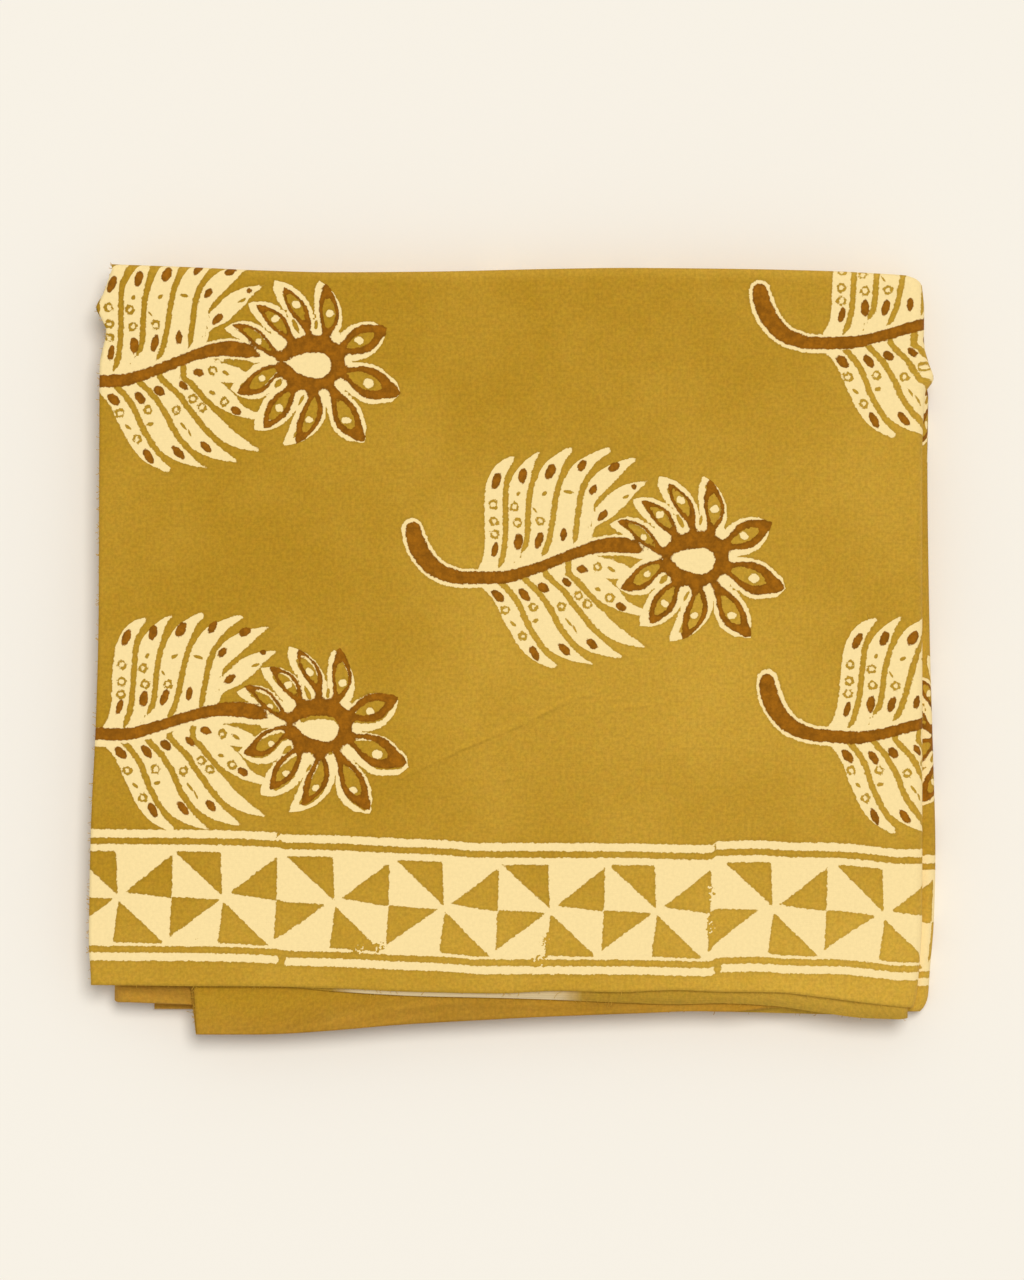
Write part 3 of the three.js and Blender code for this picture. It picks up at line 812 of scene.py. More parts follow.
def sheet_mesh(sheet, name):
    """One closed mesh: a fine printed face, a coarser wrong side, and the four cut edges."""
    rows, columns = sheet.face.shape[:2]
    dense_row = [station.get("panel") == 0 for station in sheet.stations]
    keep_rows = kept_steps(dense_row, rows)
    keep_columns = kept_steps(list(sheet.points["shown"]), columns)
    face = np.arange(rows * columns).reshape(rows, columns)
    wrong = rows * columns + np.arange(len(keep_rows) * len(keep_columns)).reshape(
        len(keep_rows), len(keep_columns))
    kept = np.ix_(keep_rows, keep_columns)
    places = np.concatenate([sheet.face.reshape(-1, 3), sheet.wrong[kept].reshape(-1, 3)])
    cloth = {column: np.concatenate([getattr(sheet, column).ravel(),
                                     getattr(sheet, column)[kept].ravel()])
             for column in ("u", "v", "far_edge")}

    def quads(grid, flip):
        corners = [grid[:-1, :-1], grid[1:, :-1], grid[1:, 1:], grid[:-1, 1:]]
        if flip:
            corners = corners[::-1]
        return np.stack([corner.ravel() for corner in corners], axis=1).tolist()

    def edge(fine, coarse, keep, flip):
        """Joins a rim of the printed face to the same rim of the wrong side."""
        strip = []
        for k in range(len(keep) - 1):
            for j in range(keep[k], keep[k + 1]):
                strip.append([coarse[k], fine[j], fine[j + 1]])
            strip.append([coarse[k], fine[keep[k + 1]], coarse[k + 1]])
        return [corners[::-1] for corners in strip] if flip else strip

    # Each group of faces, with the way out of the flat cloth across a rim.
    groups = (
        (quads(face, False), PRINTED_FACE, (0, 0)),
        (quads(wrong, True), WRONG_FACE, (0, 0)),
        (edge(face[:, 0], wrong[:, 0], keep_rows, True), RIM_FACE, (0, -1)),
        (edge(face[:, -1], wrong[:, -1], keep_rows, False), RIM_FACE, (0, 1)),
        (edge(face[0], wrong[0], keep_columns, False), RIM_FACE, (-1, 0)),
        (edge(face[-1], wrong[-1], keep_columns, True), RIM_FACE, (1, 0)),
    )
    corners = sum((group[0] for group in groups), [])
    counts = [len(group[0]) for group in groups]
    cloth["kind"] = np.repeat([group[1] for group in groups], counts)
    cloth["outward"] = np.repeat([group[2] for group in groups], counts, axis=0)
    cloth["is_wrong"] = np.arange(len(places)) >= rows * columns
    mesh = bpy.data.meshes.new(name)
    mesh.from_pydata((places * MM).tolist(), [], corners)
    mesh.polygons.foreach_set("use_smooth", [True] * len(mesh.polygons))
    wrong_side = (cloth["kind"] != PRINTED_FACE).astype(np.float32)
    mesh.attributes.new("Wrong Side", "FLOAT", "FACE").data.foreach_set("value", wrong_side)
    mesh.update()
    return mesh, cloth


def stroke(x, y, line):
    """Distance to a line of changing breadth, from a table of points. It is negative on the line."""
    nearest = np.full_like(x, 1e9)
    for k in range(len(line["x"]) - 1):
        ax, ay, start = line["x"][k], line["y"][k], line["half"][k]
        dx, dy = line["x"][k + 1] - ax, line["y"][k + 1] - ay
        share = np.clip(((x - ax) * dx + (y - ay) * dy) / (dx * dx + dy * dy), 0, 1)
        far = np.hypot(x - ax - share * dx, y - ay - share * dy)
        nearest = np.minimum(nearest, far - mix(start, line["half"][k + 1], share))
    return nearest


def finer(line, count):
    """A line of points made smooth, with more points along it."""
    steps = np.hypot(np.diff(line["x"]), np.diff(line["y"]))
    rows = {**line, "at": np.concatenate([[0], np.cumsum(steps)])}
    at = np.linspace(0, rows["at"][-1], count)
    return {name: read(rows, "at", at, name) for name in ("x", "y", "half")}


def oval(x, y, centre_x, centre_y, long, broad, turn):
    """Distance to an oval, near enough for an edge."""
    angle = math.radians(turn)
    along = (x - centre_x) * math.cos(angle) + (y - centre_y) * math.sin(angle)
    across = (y - centre_y) * math.cos(angle) - (x - centre_x) * math.sin(angle)
    ratio = np.hypot(along / long, across / broad)
    slope = np.hypot(along / long ** 2, across / broad ** 2)
    return ratio * (ratio - 1) / np.maximum(slope, 1e-6)


def face_means(values, faces):
    return np.add.reduceat(values, faces["start"], axis=-1) / faces["corners"]


def nearest_shape(family, reach, faces):
    """Of a family of shapes, the one nearest to each face, so that its edges stay exact there."""
    pick = face_means(reach, faces).argmin(axis=0)[faces["of_corner"]]
    return family[pick, np.arange(len(pick))]


def comb_shapes(x, y, comb, stem):
    """Each barb of a comb: distance across from its middle, half its breadth, and past its tip."""
    way, barbs = comb["way"], comb["barbs"]
    up = way * y
    lines = []
    for k, opens in enumerate(comb["opens"]):
        at = read(comb["lines"], "y", up, k)
        slope = read(comb["lines"], "y", up + 0.5, k) - read(comb["lines"], "y", up - 0.5, k)
        open_share = 0 if opens is None else mix(-0.4, 1, smooth(up, opens, opens + 5))
        lines.append((at, slope, comb["gap"] * open_share))
    root = way * (read(stem, "x", x, "y") - y)
    shapes = []
    for k in range(len(barbs["tip"])):
        (left, left_slope, left_gap), (right, right_slope, right_gap) = lines[k], lines[k + 1]
        square = 1 / np.sqrt(1 + ((left_slope + right_slope) / 2) ** 2)
        start, end = left + left_gap / square, right - right_gap / square
        inward = 1 - np.clip((x - start) / np.maximum(end - start, 0.5), 0, 1)
        round_off = 0.1 * inward + 0.9 * (1 - np.sqrt(1 - inward ** 2))
        past = up - barbs["tip"][k] + barbs["shoulder"][k] * round_off
        shapes.append(np.stack([(x - (start + end) / 2) * square, (end - start) / 2 * square,
                                np.maximum(past, root)], axis=-1))
    return shapes


def petal_shapes(x, y, resist):
    """Each petal: distance across from its middle, half its breadth, and its hollow's depth.

    The resist block cuts an outline round each petal and leaves its inside open. The brown block
    prints the petal itself, with a hollow in it.
    """
    radius, angle = np.hypot(x, y), np.degrees(np.arctan2(y, x))
    shapes = []
    for row in zip(*PETALS.values()):
        root, middle, tip, start, length, half, hollow_from, hollow_to, hollow_half, past, stray = row
        share = np.clip((radius - PETAL_ROOT) / (length - PETAL_ROOT), 0, 1.3)
        centre = root + share * (4 * middle - 3 * root - tip + 2 * (root + tip - 2 * middle) * share)
        if resist:
            centre = centre + stray * share ** 3
        turned = (angle - centre + 180) % 360 - 180
        across = radius * np.radians(turned)
        if resist:
            end = length + max(past, 0)
            fade = 4.5 if past > 0 else 1.5
            outline = PETAL_OUTLINE * smooth(length + past + 0.5 - radius, 0, fade)
            outline = outline + 0.4 * PETAL_OUTLINE * smooth(-radius, -24, -18)
        else:
            end, outline = length, 0
        along = (radius - start) / (end - start)
        breadth = half * read(PETAL_SHAPE, "along", along, "breadth")
        edge = breadth + outline - np.maximum(radius - end, 0) - np.maximum(start - radius, 0)
        if resist:
            hollow = np.maximum(np.abs(across) - breadth + 0.9, radius - length + 1.5)
        else:
            inside = np.clip((radius - hollow_from) / (hollow_to - hollow_from), 0, 1)
            open_half = hollow_half * np.sin(math.pi * inside ** 1.2) ** 0.65
            beyond = np.maximum(hollow_from - radius, radius - hollow_to)
            hollow = np.abs(across) - open_half + np.maximum(beyond, 0)
        edge = np.where(np.abs(turned) < 90, edge, -50)
        hollow = np.maximum(hollow, hollow_from - 2.5 - radius)
        shapes.append(np.stack([across, edge, hollow], axis=-1))
    return shapes


def nearest_petals(x, y, resist, faces):
    family = np.array(petal_shapes(x, y, resist), np.float32)
    return nearest_shape(family, np.abs(family[:, :, 0]) - family[:, :, 1], faces)


def nearest_barbs(x, y, stem, faces):
    shapes = comb_shapes(x, y, UPPER_COMB, stem) + comb_shapes(x, y, LOWER_COMB, stem)
    family = np.array(shapes, np.float32)
    reach = np.maximum(np.abs(family[:, :, 0]) - family[:, :, 1], family[:, :, 2])
    return nearest_shape(family, reach, faces)


def nearest_oval(x, y, ink_x, ink_y, faces):
    """The nearest small oval: the place in it, where its edge lies at 1, and its size and kind."""
    brown = (OVALS["kind"] == BROWN)[:, None]
    dx = np.where(brown, ink_x, x) - OVALS["x"][:, None]
    dy = np.where(brown, ink_y, y) - OVALS["y"][:, None]
    angle = np.radians(OVALS["turn"])[:, None]
    along = (dx * np.cos(angle) + dy * np.sin(angle)) / OVALS["long"][:, None]
    across = (dy * np.cos(angle) - dx * np.sin(angle)) / OVALS["broad"][:, None]
    size = np.sqrt(OVALS["long"] * OVALS["broad"])[:, None] + 0 * dx
    reach = (np.hypot(along, across) - 1) * size
    place = nearest_shape(np.stack([along, across, size], axis=-1).astype(np.float32), reach, faces)
    kind = OVALS["kind"][face_means(reach, faces).argmin(axis=0)]
    return place, kind


def nearest_ring(x, y, faces):
    dx, dy = x - RINGS["x"][:, None], y - RINGS["y"][:, None]
    return nearest_shape(np.stack([dx, dy, 0 * dx], axis=-1), np.hypot(dx, dy), faces)


def nearest_triangle(u, w, faces):
    """The nearest triangle of the border's wheels: the distances to its three edges."""
    hubs = np.concatenate([HUBS, np.arange(HUBS[-1] + HUB_PITCH, LAST_COLUMN + BLOCK, HUB_PITCH)])
    before = np.searchsorted(hubs, face_means(u, faces)).clip(2, len(hubs) - 2)
    family = []
    for step in (-2, -1, 0, 1):
        x = u - hubs[before + step][faces["of_corner"]]
        for corners in WHEEL:
            family.append(triangle_edges(x, w + 0.4, corners))
    family = np.array(family, np.float32)
    return nearest_shape(family, family.max(axis=-1), faces)


def triangle_edges(x, y, corners):
    """Distances to the lines of a triangle's three edges, negative inside."""
    middle = np.mean(corners, axis=0)
    edges = []
    for (ax, ay), (bx, by) in zip(corners, corners[1:] + corners[:1]):
        nx, ny = by - ay, ax - bx
        length = math.hypot(nx, ny)
        if nx * (middle[0] - ax) + ny * (middle[1] - ay) > 0:
            length = -length
        edges.append((nx * (x - ax) + ny * (y - ay)) / length)
    return np.stack(edges, axis=-1)


def border_bands(u, v, far_edge):
    """How far a place is from the border's middle, and the distance to the cream lines."""
    centre = read(BORDER_LINE, "u", u, "centre")
    w = np.where(far_edge - v < v, far_edge - v - centre, v - centre)
    lines = np.full_like(u, 1e9)
    for side in (1, -1):
        stripe = np.abs(side * w - BORDER["band"] - BORDER["gap"] - BORDER["line"] / 2)
        stripe -= BORDER["line"] / 2
        for at, line_side, half in zip(*LINE_BREAKS.values()):
            if line_side == side:
                across = (u - at + 0.35 * (w - side * BORDER["band"])) % BLOCK
                stripe = np.maximum(stripe, half - np.minimum(across, BLOCK - across))
        lines = np.minimum(lines, stripe)
    return w, lines


def print_places(far_edge, seed):
    """Every place where the motif is printed: the listed ones, then the staggered columns."""
    random = np.random.default_rng(seed)
    free = [(u, first) for u, first in zip(*TOP_COLUMNS.values())]
    for number, u in enumerate(np.arange(FIRST_FREE_COLUMN, LAST_COLUMN, COLUMN_PITCH)):
        free.append((u, PLAIN_MARGIN + (0 if number % 2 else ROW_PITCH / 2)))
    places = [tuple(row) for row in zip(*PRINTED.values())]
    for u, first in free:
        for v in np.arange(first, far_edge - PLAIN_MARGIN, ROW_PITCH):
            away = v - MIDDLE_FOLD
            if abs(away) < CLEAR_OF_FOLD:
                v = MIDDLE_FOLD + math.copysign(CLEAR_OF_FOLD, away)
            off = random.uniform(-1, 1, 5)
            if math.hypot(u - PRINTED["u"][-1], v - PRINTED["v"][-1]) < ROW_PITCH / 2:
                continue
            places.append((u + 2 * off[0], v + 1.5 * off[1], 2.5 * off[2], off[3], off[4]))
    return np.array(places)


def from_motif(u, v, far_edge, faces):
    """Places from the middle of the nearest motif's flower, for the resist and the brown block."""
    places = print_places(float(far_edge.mean()), PLACES_SEED)
    middle_u, middle_v = face_means(u, faces), face_means(v, faces)
    steps = (np.abs(middle_u[:, None] - places[None, :, 0] - CELL["shift_x"]) / CELL["x"]
             + np.abs(middle_v[:, None] - places[None, :, 1] - CELL["shift_y"]) / CELL["y"])
    at_u, at_v, turn, off_u, off_v = places[steps.argmin(axis=1)[faces["of_corner"]]].T
    angle = np.radians(turn)
    x = (u - at_u) * np.cos(angle) + (v - at_v) * np.sin(angle)
    y = (v - at_v) * np.cos(angle) - (u - at_u) * np.sin(angle)
    ink_x = x - off_u - 0.3 * np.sin(y / 8 + at_u)
    ink_y = y - off_v - 0.3 * np.sin(x / 9 + at_v)
    return x, y, ink_x, ink_y


def flaws(u, v, far_edge):
    """The smudges, the bare selvedge and the crumpled middle fold, each from 0 to 1."""
    smudge = np.zeros_like(u)
    for at_u, at_v, size in zip(*SMUDGES.values()):
        smudge = np.maximum(smudge, 1 - np.hypot(u - at_u, v - at_v) / size)
    bare = smooth(u, BARE_EDGE["from"], BARE_EDGE["from"] + BARE_EDGE["fade"])
    bare = bare * smooth(-u, -BARE_EDGE["to"], -BARE_EDGE["to"] + BARE_EDGE["fade"])
    bare = bare * smooth(v - far_edge, -BARE_EDGE["depth"], -BARE_EDGE["depth"] / 2)
    folded = smooth(-np.abs(v - MIDDLE_FOLD), -32, -12)
    return np.stack([smudge, bare, folded], axis=-1)


def paleness_and_painted_light(u, v, far_edge):
    """How much lighter the ground is, from weak dye, painted light and painted shade, from the tables
    above.
    """
    # Weak dye all over, and painted light towards the right.
    pale = PALENESS_AND_PAINTED_LIGHT["all"] + PALENESS_AND_PAINTED_LIGHT["right"] * smooth(u, 0, 150)
    # Painted shade towards the top.
    pale = pale + PALENESS_AND_PAINTED_LIGHT["top"] * smooth(v, 190, 270)
    # Painted light along the selvedges, stronger towards their right ends.
    hem = smooth(-np.minimum(v, far_edge - v), -60, -15)
    pale = pale + hem * (PALENESS_AND_PAINTED_LIGHT["selvedge"] + PALENESS_AND_PAINTED_LIGHT["selvedge_right_light"] * smooth(u, -60, 150))
    # Pale strips along the folded edge and the first fold: worn dye with a painted highlight.
    inside = read(FOLDED_EDGE, "x", u, "y") - v - SELVEDGE_LINE
    pale = pale + PALENESS_AND_PAINTED_LIGHT["folded_edge_wear_and_highlight"] * smooth(-inside, -6, 0) * smooth(inside, -12, -5)
    pale = pale + PALENESS_AND_PAINTED_LIGHT["first_fold_wear_and_highlight"] * np.exp(-((u - FIRST_FOLD) / FOLD_BREADTH) ** 2)
    # Broad patches of painted light.
    for at_u, at_v, size, depth in zip(*PAINTED_LIGHT_PATCHES.values()):
        pale = pale + depth * np.exp(-((u - at_u) ** 2 + (v - at_v) ** 2) / (2 * size ** 2))
    return pale


def print_cloth(mesh, cloth, print_settings):
    """Works out the print at every corner of the mesh and keeps it in named attributes."""
    outline = print_settings.outline / MM
    corner_vertex = np.zeros(len(mesh.loops), np.int32)
    mesh.loops.foreach_get("vertex_index", corner_vertex)
    start = np.zeros(len(mesh.polygons), np.int32)
    mesh.polygons.foreach_get("loop_start", start)
    corners = np.diff(np.append(start, len(corner_vertex)))
    faces = {"start": start, "corners": corners,
             "of_corner": np.repeat(np.arange(len(start)), corners)}
    u, v, far_edge = (cloth[name][corner_vertex] for name in ("u", "v", "far_edge"))

    x, y, ink_x, ink_y = from_motif(u, v, far_edge, faces)
    stem = finer(STEM, 60)
    under = y < read(stem, "x", x, "y")
    under_barbs = under * smooth(x, -80, -76) * smooth(-x, 44, 48)
    under_lobe = under * smooth(x, -48, -44)
    outline = outline * (1 - 1.3 * under_barbs - 0.35 * under_lobe)
    w, lines = border_bands(u, v, far_edge)
    resist = np.minimum(stroke(x, y, stem) - outline, stroke(x, y, NECK))
    resist = np.minimum(resist, oval(x, y, *LOBE.values()))
    resist = np.minimum(resist, lines)
    eye = finer(EYE, 12)
    resist = np.minimum(resist, stroke(x, y, eye) - 0.5)
    fingers = np.maximum(np.hypot(x, y) - CREAM_DISC, -oval(x, y, *DISC.values()) - 1.2)
    brown = np.minimum(stroke(ink_x, ink_y, stem), oval(ink_x, ink_y, *DISC.values()))
    brown = np.maximum(brown, -stroke(ink_x, ink_y, eye))

    # Where the creases lie, for their painted shade and highlight in the material.
    creases = np.array(crease_lines(u, v + SELVEDGE_LINE), np.float32)
    crease_shading = np.stack([creases[:, 1], creases[:, 2] * (creases[:, 0] < 6), creases[:, 0]], axis=-1)
    ovals, kind = nearest_oval(x, y, ink_x, ink_y, faces)
    fields = {
        "Crease": nearest_shape(crease_shading, creases[:, 0], faces),
        "Barb": nearest_barbs(x, y, stem, faces),
        "Resist Petal": nearest_petals(x, y, True, faces),
        "Brown Petal": nearest_petals(ink_x, ink_y, False, faces),
        "Oval": ovals,
        "Ring": nearest_ring(x, y, faces),
        "Wheel": nearest_triangle(u, w, faces),
        "Blocks": np.stack([resist, brown, fingers], axis=-1),
        "Flaw": flaws(u, v, far_edge),
        "Band": np.stack([w, v, paleness_and_painted_light(u, v, far_edge)], axis=-1),
    }
    for name, values in fields.items():
        limited = np.clip(values, -900, 900).astype(np.float32)
        mesh.attributes.new(name, "FLOAT_VECTOR", "CORNER").data.foreach_set(
            "vector", limited.ravel())
    mesh.attributes.new("Oval Kind", "FLOAT", "FACE").data.foreach_set(
        "value", kind.astype(np.float32))
    layer = mesh.uv_layers.new(name="Cloth")
    flat = np.stack([u, v], axis=-1).astype(np.float32) * MM
    layer.data.foreach_set("uv", flat.ravel())
    bake_map(mesh, cloth, corner_vertex, faces)


def bake_map(mesh, cloth, corner_vertex, faces):
    """A second map with no overlaps: the top layer large, and the rest of both sides small below."""
    kind, outward = (cloth[name][faces["of_corner"]] for name in ("kind", "outward"))
    place = np.stack([cloth["u"][corner_vertex], cloth["v"][corner_vertex]], axis=-1)
    rim = (kind == RIM_FACE) & cloth["is_wrong"][corner_vertex]
    place = place + np.where(rim[:, None], RIM_REACH * outward, 0)
    middle = face_means(place.T, faces)
    on_top = (middle[0] < TOP_LAYER["u"]) & (middle[1] < TOP_LAYER["v"])
    on_top = on_top[faces["of_corner"]] & (kind == PRINTED_FACE)
    low, reach = place.min(0), np.ptp(place, axis=0)
    small = (place - low) / reach * (0.48, 0.235) + 0.005
    small[:, 0] += np.where(kind == WRONG_FACE, 0.5, 0)
    large = (place - low) * (0.74 / TOP_LAYER["v"]) + (0.005, 0.255)
    layer = mesh.uv_layers.new(name="OFBake")
    layer.data.foreach_set("uv", np.where(on_top[:, None], large, small).astype(np.float32).ravel())


def cotton_material(settings):
    """Hand-block-printed plain-weave cotton: matt and soft, with a fine uneven weave.

    The cream is the bare cotton that the mud kept from the dye, so its edges wander as wet mud
    does. The brown is printed over it and takes unevenly. Distances in the shader are millimetres.
    """
    material, tree = new_material("Hand-block-printed plain-weave cotton")

    def calc(operation, *values):
        return add(tree, "ShaderNodeMath", *values, operation=operation)

    def vector(operation, *values):
        return add(tree, "ShaderNodeVectorMath", *values, operation=operation)

    def noise(place, scale, detail, roughness=0.5, output=0):
        """Soft noise, with its scale in features to a millimetre."""
        return add(tree, "ShaderNodeTexNoise", place, output=output, noise_dimensions="2D",
                   named={"Scale": scale, "Detail": detail, "Roughness": roughness})

    def ramp(value, low, high, at_low, at_high):
        return add(tree, "ShaderNodeMapRange", value, low, high, at_low, at_high,
                   interpolation_type="SMOOTHSTEP")

    def split(value):
        return add(tree, "ShaderNodeSeparateXYZ", value).node.outputs

    def attribute(name, output=1):
        return add(tree, "ShaderNodeAttribute", attribute_name=name, output=output)

    def field(name):
        return split(attribute(name))

    def past_edge(shape):
        """How far past a shape's edge a place lies, from its distance across and the half breadth."""
        return calc("SUBTRACT", calc("ABSOLUTE", shape[0]), shape[1])

    def cut_out(shape, hole):
        return calc("MAXIMUM", shape, calc("MULTIPLY", hole, -1.0))

    def tinted(colour, tint):
        return add(tree, "ShaderNodeMix", 1.0, colour, tint, data_type="RGBA",
                   blend_type="MULTIPLY")

    def shaded(colour, tone):
        return tinted(colour, add(tree, "ShaderNodeCombineXYZ", tone, tone, tone))

    def blend(share, first, second):
        return add(tree, "ShaderNodeMix", share, first, second, data_type="RGBA")

    flat = vector("MULTIPLY", add(tree, "ShaderNodeUVMap", uv_map="Cloth"), (1 / MM, 1 / MM, 0))

    # Wet edges: one noise, with a channel each for the resist, the brown and the worn rings.
    wander = split(vector("SUBTRACT", noise(flat, 0.55, 3.0, 0.7, output=1), (0.5, 0.5, 0.5)))
    wobble = settings.wobble / MM

    # The resist block: barbs, the stem's outline and the border.
    barb = field("Barb")
    cream = calc("SMOOTH_MAX", past_edge(barb), barb[2], 3.0)
    blocks = field("Blocks")
    cream = calc("MINIMUM", cream, blocks[0])
    band = field("Band")
    wheel = field("Wheel")
    triangle = calc("SMOOTH_MAX", calc("SMOOTH_MAX", wheel[0], wheel[1], 1.6), wheel[2], 1.6)
    strip = cut_out(past_edge((band[0], BORDER["band"])), triangle)
    cream = calc("MINIMUM", cream, strip)
    petal = field("Resist Petal")
    flower = cut_out(calc("MINIMUM", past_edge(petal), blocks[2]), petal[2])
    cream = calc("MINIMUM", cream, flower)

    # Rings cut in it, worn through in places, and the small ovals of all three kinds.
    ring = calc("SUBTRACT", vector("LENGTH", attribute("Ring")), RING_RADIUS)
    ring = calc("ABSOLUTE", ring)
    ring = calc("ADD", ring, calc("MULTIPLY", wander[2], 2.2))
    cream = calc("MAXIMUM", cream, calc("SUBTRACT", RING_HALF, ring))
    place = field("Oval")
    ovals = add(tree, "ShaderNodeCombineXYZ", place[0], place[1], 0.0)
    ovals = calc("MULTIPLY", calc("SUBTRACT", vector("LENGTH", ovals), 1.0), place[2])
    kind = attribute("Oval Kind", 2)
    not_slot = calc("ABSOLUTE", calc("SUBTRACT", kind, float(SLOT_CUT)))
    not_slot = calc("MULTIPLY", not_slot, OTHER_KIND)
    cream = cut_out(cream, calc("ADD", ovals, not_slot))
    dot = calc("ADD", ovals, calc("MULTIPLY_ADD", kind, -OTHER_KIND, OTHER_KIND * DOT))
    cream = calc("MINIMUM", cream, dot)

    # The brown block: stem and disc, the petals' rims and tips, and the ovals.
    rim = field("Brown Petal")
    brown = calc("SMOOTH_MIN", blocks[1], cut_out(past_edge(rim), rim[2]), 4.0)
    brown = calc("MINIMUM", brown, calc("MULTIPLY_ADD", kind, OTHER_KIND, ovals))

    flaw = field("Flaw")
    specks = calc("MULTIPLY", calc("SUBTRACT", noise(flat, 0.8, 1.0), 0.42), flaw[0])
    cream = calc("MULTIPLY_ADD", specks, 20.0, cream)
    cream = calc("MULTIPLY_ADD", wander[0], wobble, cream)
    brown = calc("MULTIPLY_ADD", wander[1], wobble, brown)
    cream_share = ramp(cream, 0.16, -0.16, 0.0, 1.0)
    brown_share = ramp(brown, 0.2, -0.2, 0.0, 1.0)

    # The ground: paler in broad places from weak dye and painted light, mottled by its threads, and
    # deeper along the resist.
    cloudy = ramp(noise(flat, 0.016, 3.0, 0.6), 0.25, 0.75, -0.17, 0.17)
    ground = blend(calc("ADD", band[2], cloudy), tuple(settings.mustard), tuple(settings.faded_and_lit_mustard))
    hue = vector("MULTIPLY_ADD", noise(flat, 0.3, 2.0, output=1), (0.09, 0.09, 0.3),
                 (0.955, 0.955, 0.85))
    ground = tinted(ground, hue)
    grain = noise(flat, 0.75, 2.0, 0.7)
    mottle = ramp(grain, 0.2, 0.8, 0.88, 1.12)
    weft = noise(vector("MULTIPLY", flat, (0.15, 1.3, 0.0)), 1.0, 1.0)
    warp = noise(vector("MULTIPLY", flat, (1.3, 0.15, 0.0)), 1.0, 1.0)
    slubs = calc("ADD", warp, weft)
    tone = calc("MULTIPLY", mottle, ramp(slubs, 0.6, 1.4, 0.97, 1.03))
    pooled_dye_and_wrinkle_shade = calc("MULTIPLY", tone, ramp(cream, 0.0, 1.5, 0.88, 1.0))
    crumple = noise(vector("MULTIPLY", flat, (0.02, 0.2, 0.0)), 1.0, 2.0)
    # Streaks near the middle fold that follow its crumples: painted wrinkle shade and light, on top of
    # the bump below.
    painted_wrinkle_shade = calc("MULTIPLY", flaw[2], ramp(crumple, 0.3, 0.7, -0.1, 0.1))
    pooled_dye_and_wrinkle_shade = calc("MULTIPLY", pooled_dye_and_wrinkle_shade, calc("ADD", painted_wrinkle_shade, 1.0))
    ground = blend(flaw[2], ground, tinted(ground, FOLD_TINT))
    colour = shaded(ground, pooled_dye_and_wrinkle_shade)
    pale = shaded(tuple(settings.cream), ramp(grain, 0.2, 0.8, 0.965, 1.03))
    colour = blend(cream_share, colour, pale)
    patchy = calc("MULTIPLY", ramp(noise(flat, 0.28, 3.0, 0.6), 0.3, 0.7, 0.84, 1.16), tone)
    patchy = calc("MULTIPLY", patchy, ramp(brown, -1.3, 0.1, 1.08, 0.84))
    colour = blend(brown_share, colour, shaded(tuple(settings.brown), patchy))

    # A pressed crease, painted: a thin line of painted shade with a painted highlight above it, both
    # broken up.
    crease = field("Crease")
    broken = calc("MULTIPLY", crease[1], ramp(noise(flat, 0.12, 2.0), 0.35, 0.6, 0.35, 1.0))
    line = ramp(calc("ABSOLUTE", crease[0]), 0.1, 0.9, -0.15, 0.0)
    painted_crease_highlight = ramp(calc("ABSOLUTE", calc("SUBTRACT", crease[0], 1.7)), 0.2, 1.6, 0.06, 0.0)
    crease_shading = calc("MULTIPLY_ADD", calc("ADD", line, painted_crease_highlight), broken, 1.0)
    colour = shaded(colour, crease_shading)

    # The wrong side is dyed as deep, with the print only as a shadow, and its bare selvedge is pale.
    wrong_side = attribute("Wrong Side", 2)
    plain = shaded(ground, tone)
    colour = blend(calc("MULTIPLY", wrong_side, 0.8), colour, plain)
    colour = blend(calc("MULTIPLY", wrong_side, flaw[1]), colour, tuple(settings.bare))

    # Weave: warp and weft take turns on top. Near the middle fold the cloth is crumpled as well.
    turn = math.pi / (settings.thread / MM)
    waves = split(vector("SINE", vector("MULTIPLY", flat, (turn, turn, 0.0))))
    relief = calc("ABSOLUTE", calc("MULTIPLY", waves[0], waves[1]))
    relief = calc("MULTIPLY_ADD", relief, 0.7, slubs)
    relief = calc("ADD", relief, calc("MULTIPLY", calc("MULTIPLY", crumple, flaw[2]), 16.0))
    bump = add(tree, "ShaderNodeBump", named={"Strength": 0.3, "Distance": 0.12 * MM,
               "Height": relief})
    shader = add(tree, "ShaderNodeBsdfPrincipled", named={
        "Base Color": colour, "Roughness": 0.95, "Specular IOR Level": 0.06,
        "Sheen Weight": 0.03, "Sheen Roughness": 0.6, "Normal": bump})
    add(tree, "ShaderNodeOutputMaterial", shader)
    return material


def yarn_material(settings):
    """Mustard-dyed cotton yarn, a little paler than the cloth where single threads catch light."""
    return matt_material("Mustard-dyed cotton yarn", settings.faded_and_lit_mustard, 0.9, 0.1)


def new_piece(name, mesh, material):
    """Links a finished mesh as a piece that rides on the bundle."""
    mesh.materials.clear()
    mesh.materials.append(material)
    piece = bpy.data.objects.new(name, mesh)
    bpy.context.scene.collection.objects.link(piece)
    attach(piece, "root")
    return piece


class FABRIC_OT_folded_cloth(bpy.types.Operator):
    """Makes the folded length of printed cotton"""

    bl_idname = "fabric.folded_cloth"
    bl_label = "Folded Cloth"

    def execute(self, context):
        settings = context.scene.fabric_print
        sheet = Sheet(context.scene.fabric_fold)
        mesh, cloth = sheet_mesh(sheet, "printed_cloth")
        print_cloth(mesh, cloth, settings)
        if mesh.validate():
            raise RuntimeError("the folded cloth's mesh has faults")
        piece = new_piece("printed_cloth", mesh, cotton_material(settings))
        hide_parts(NODE)
        return {"FINISHED"}


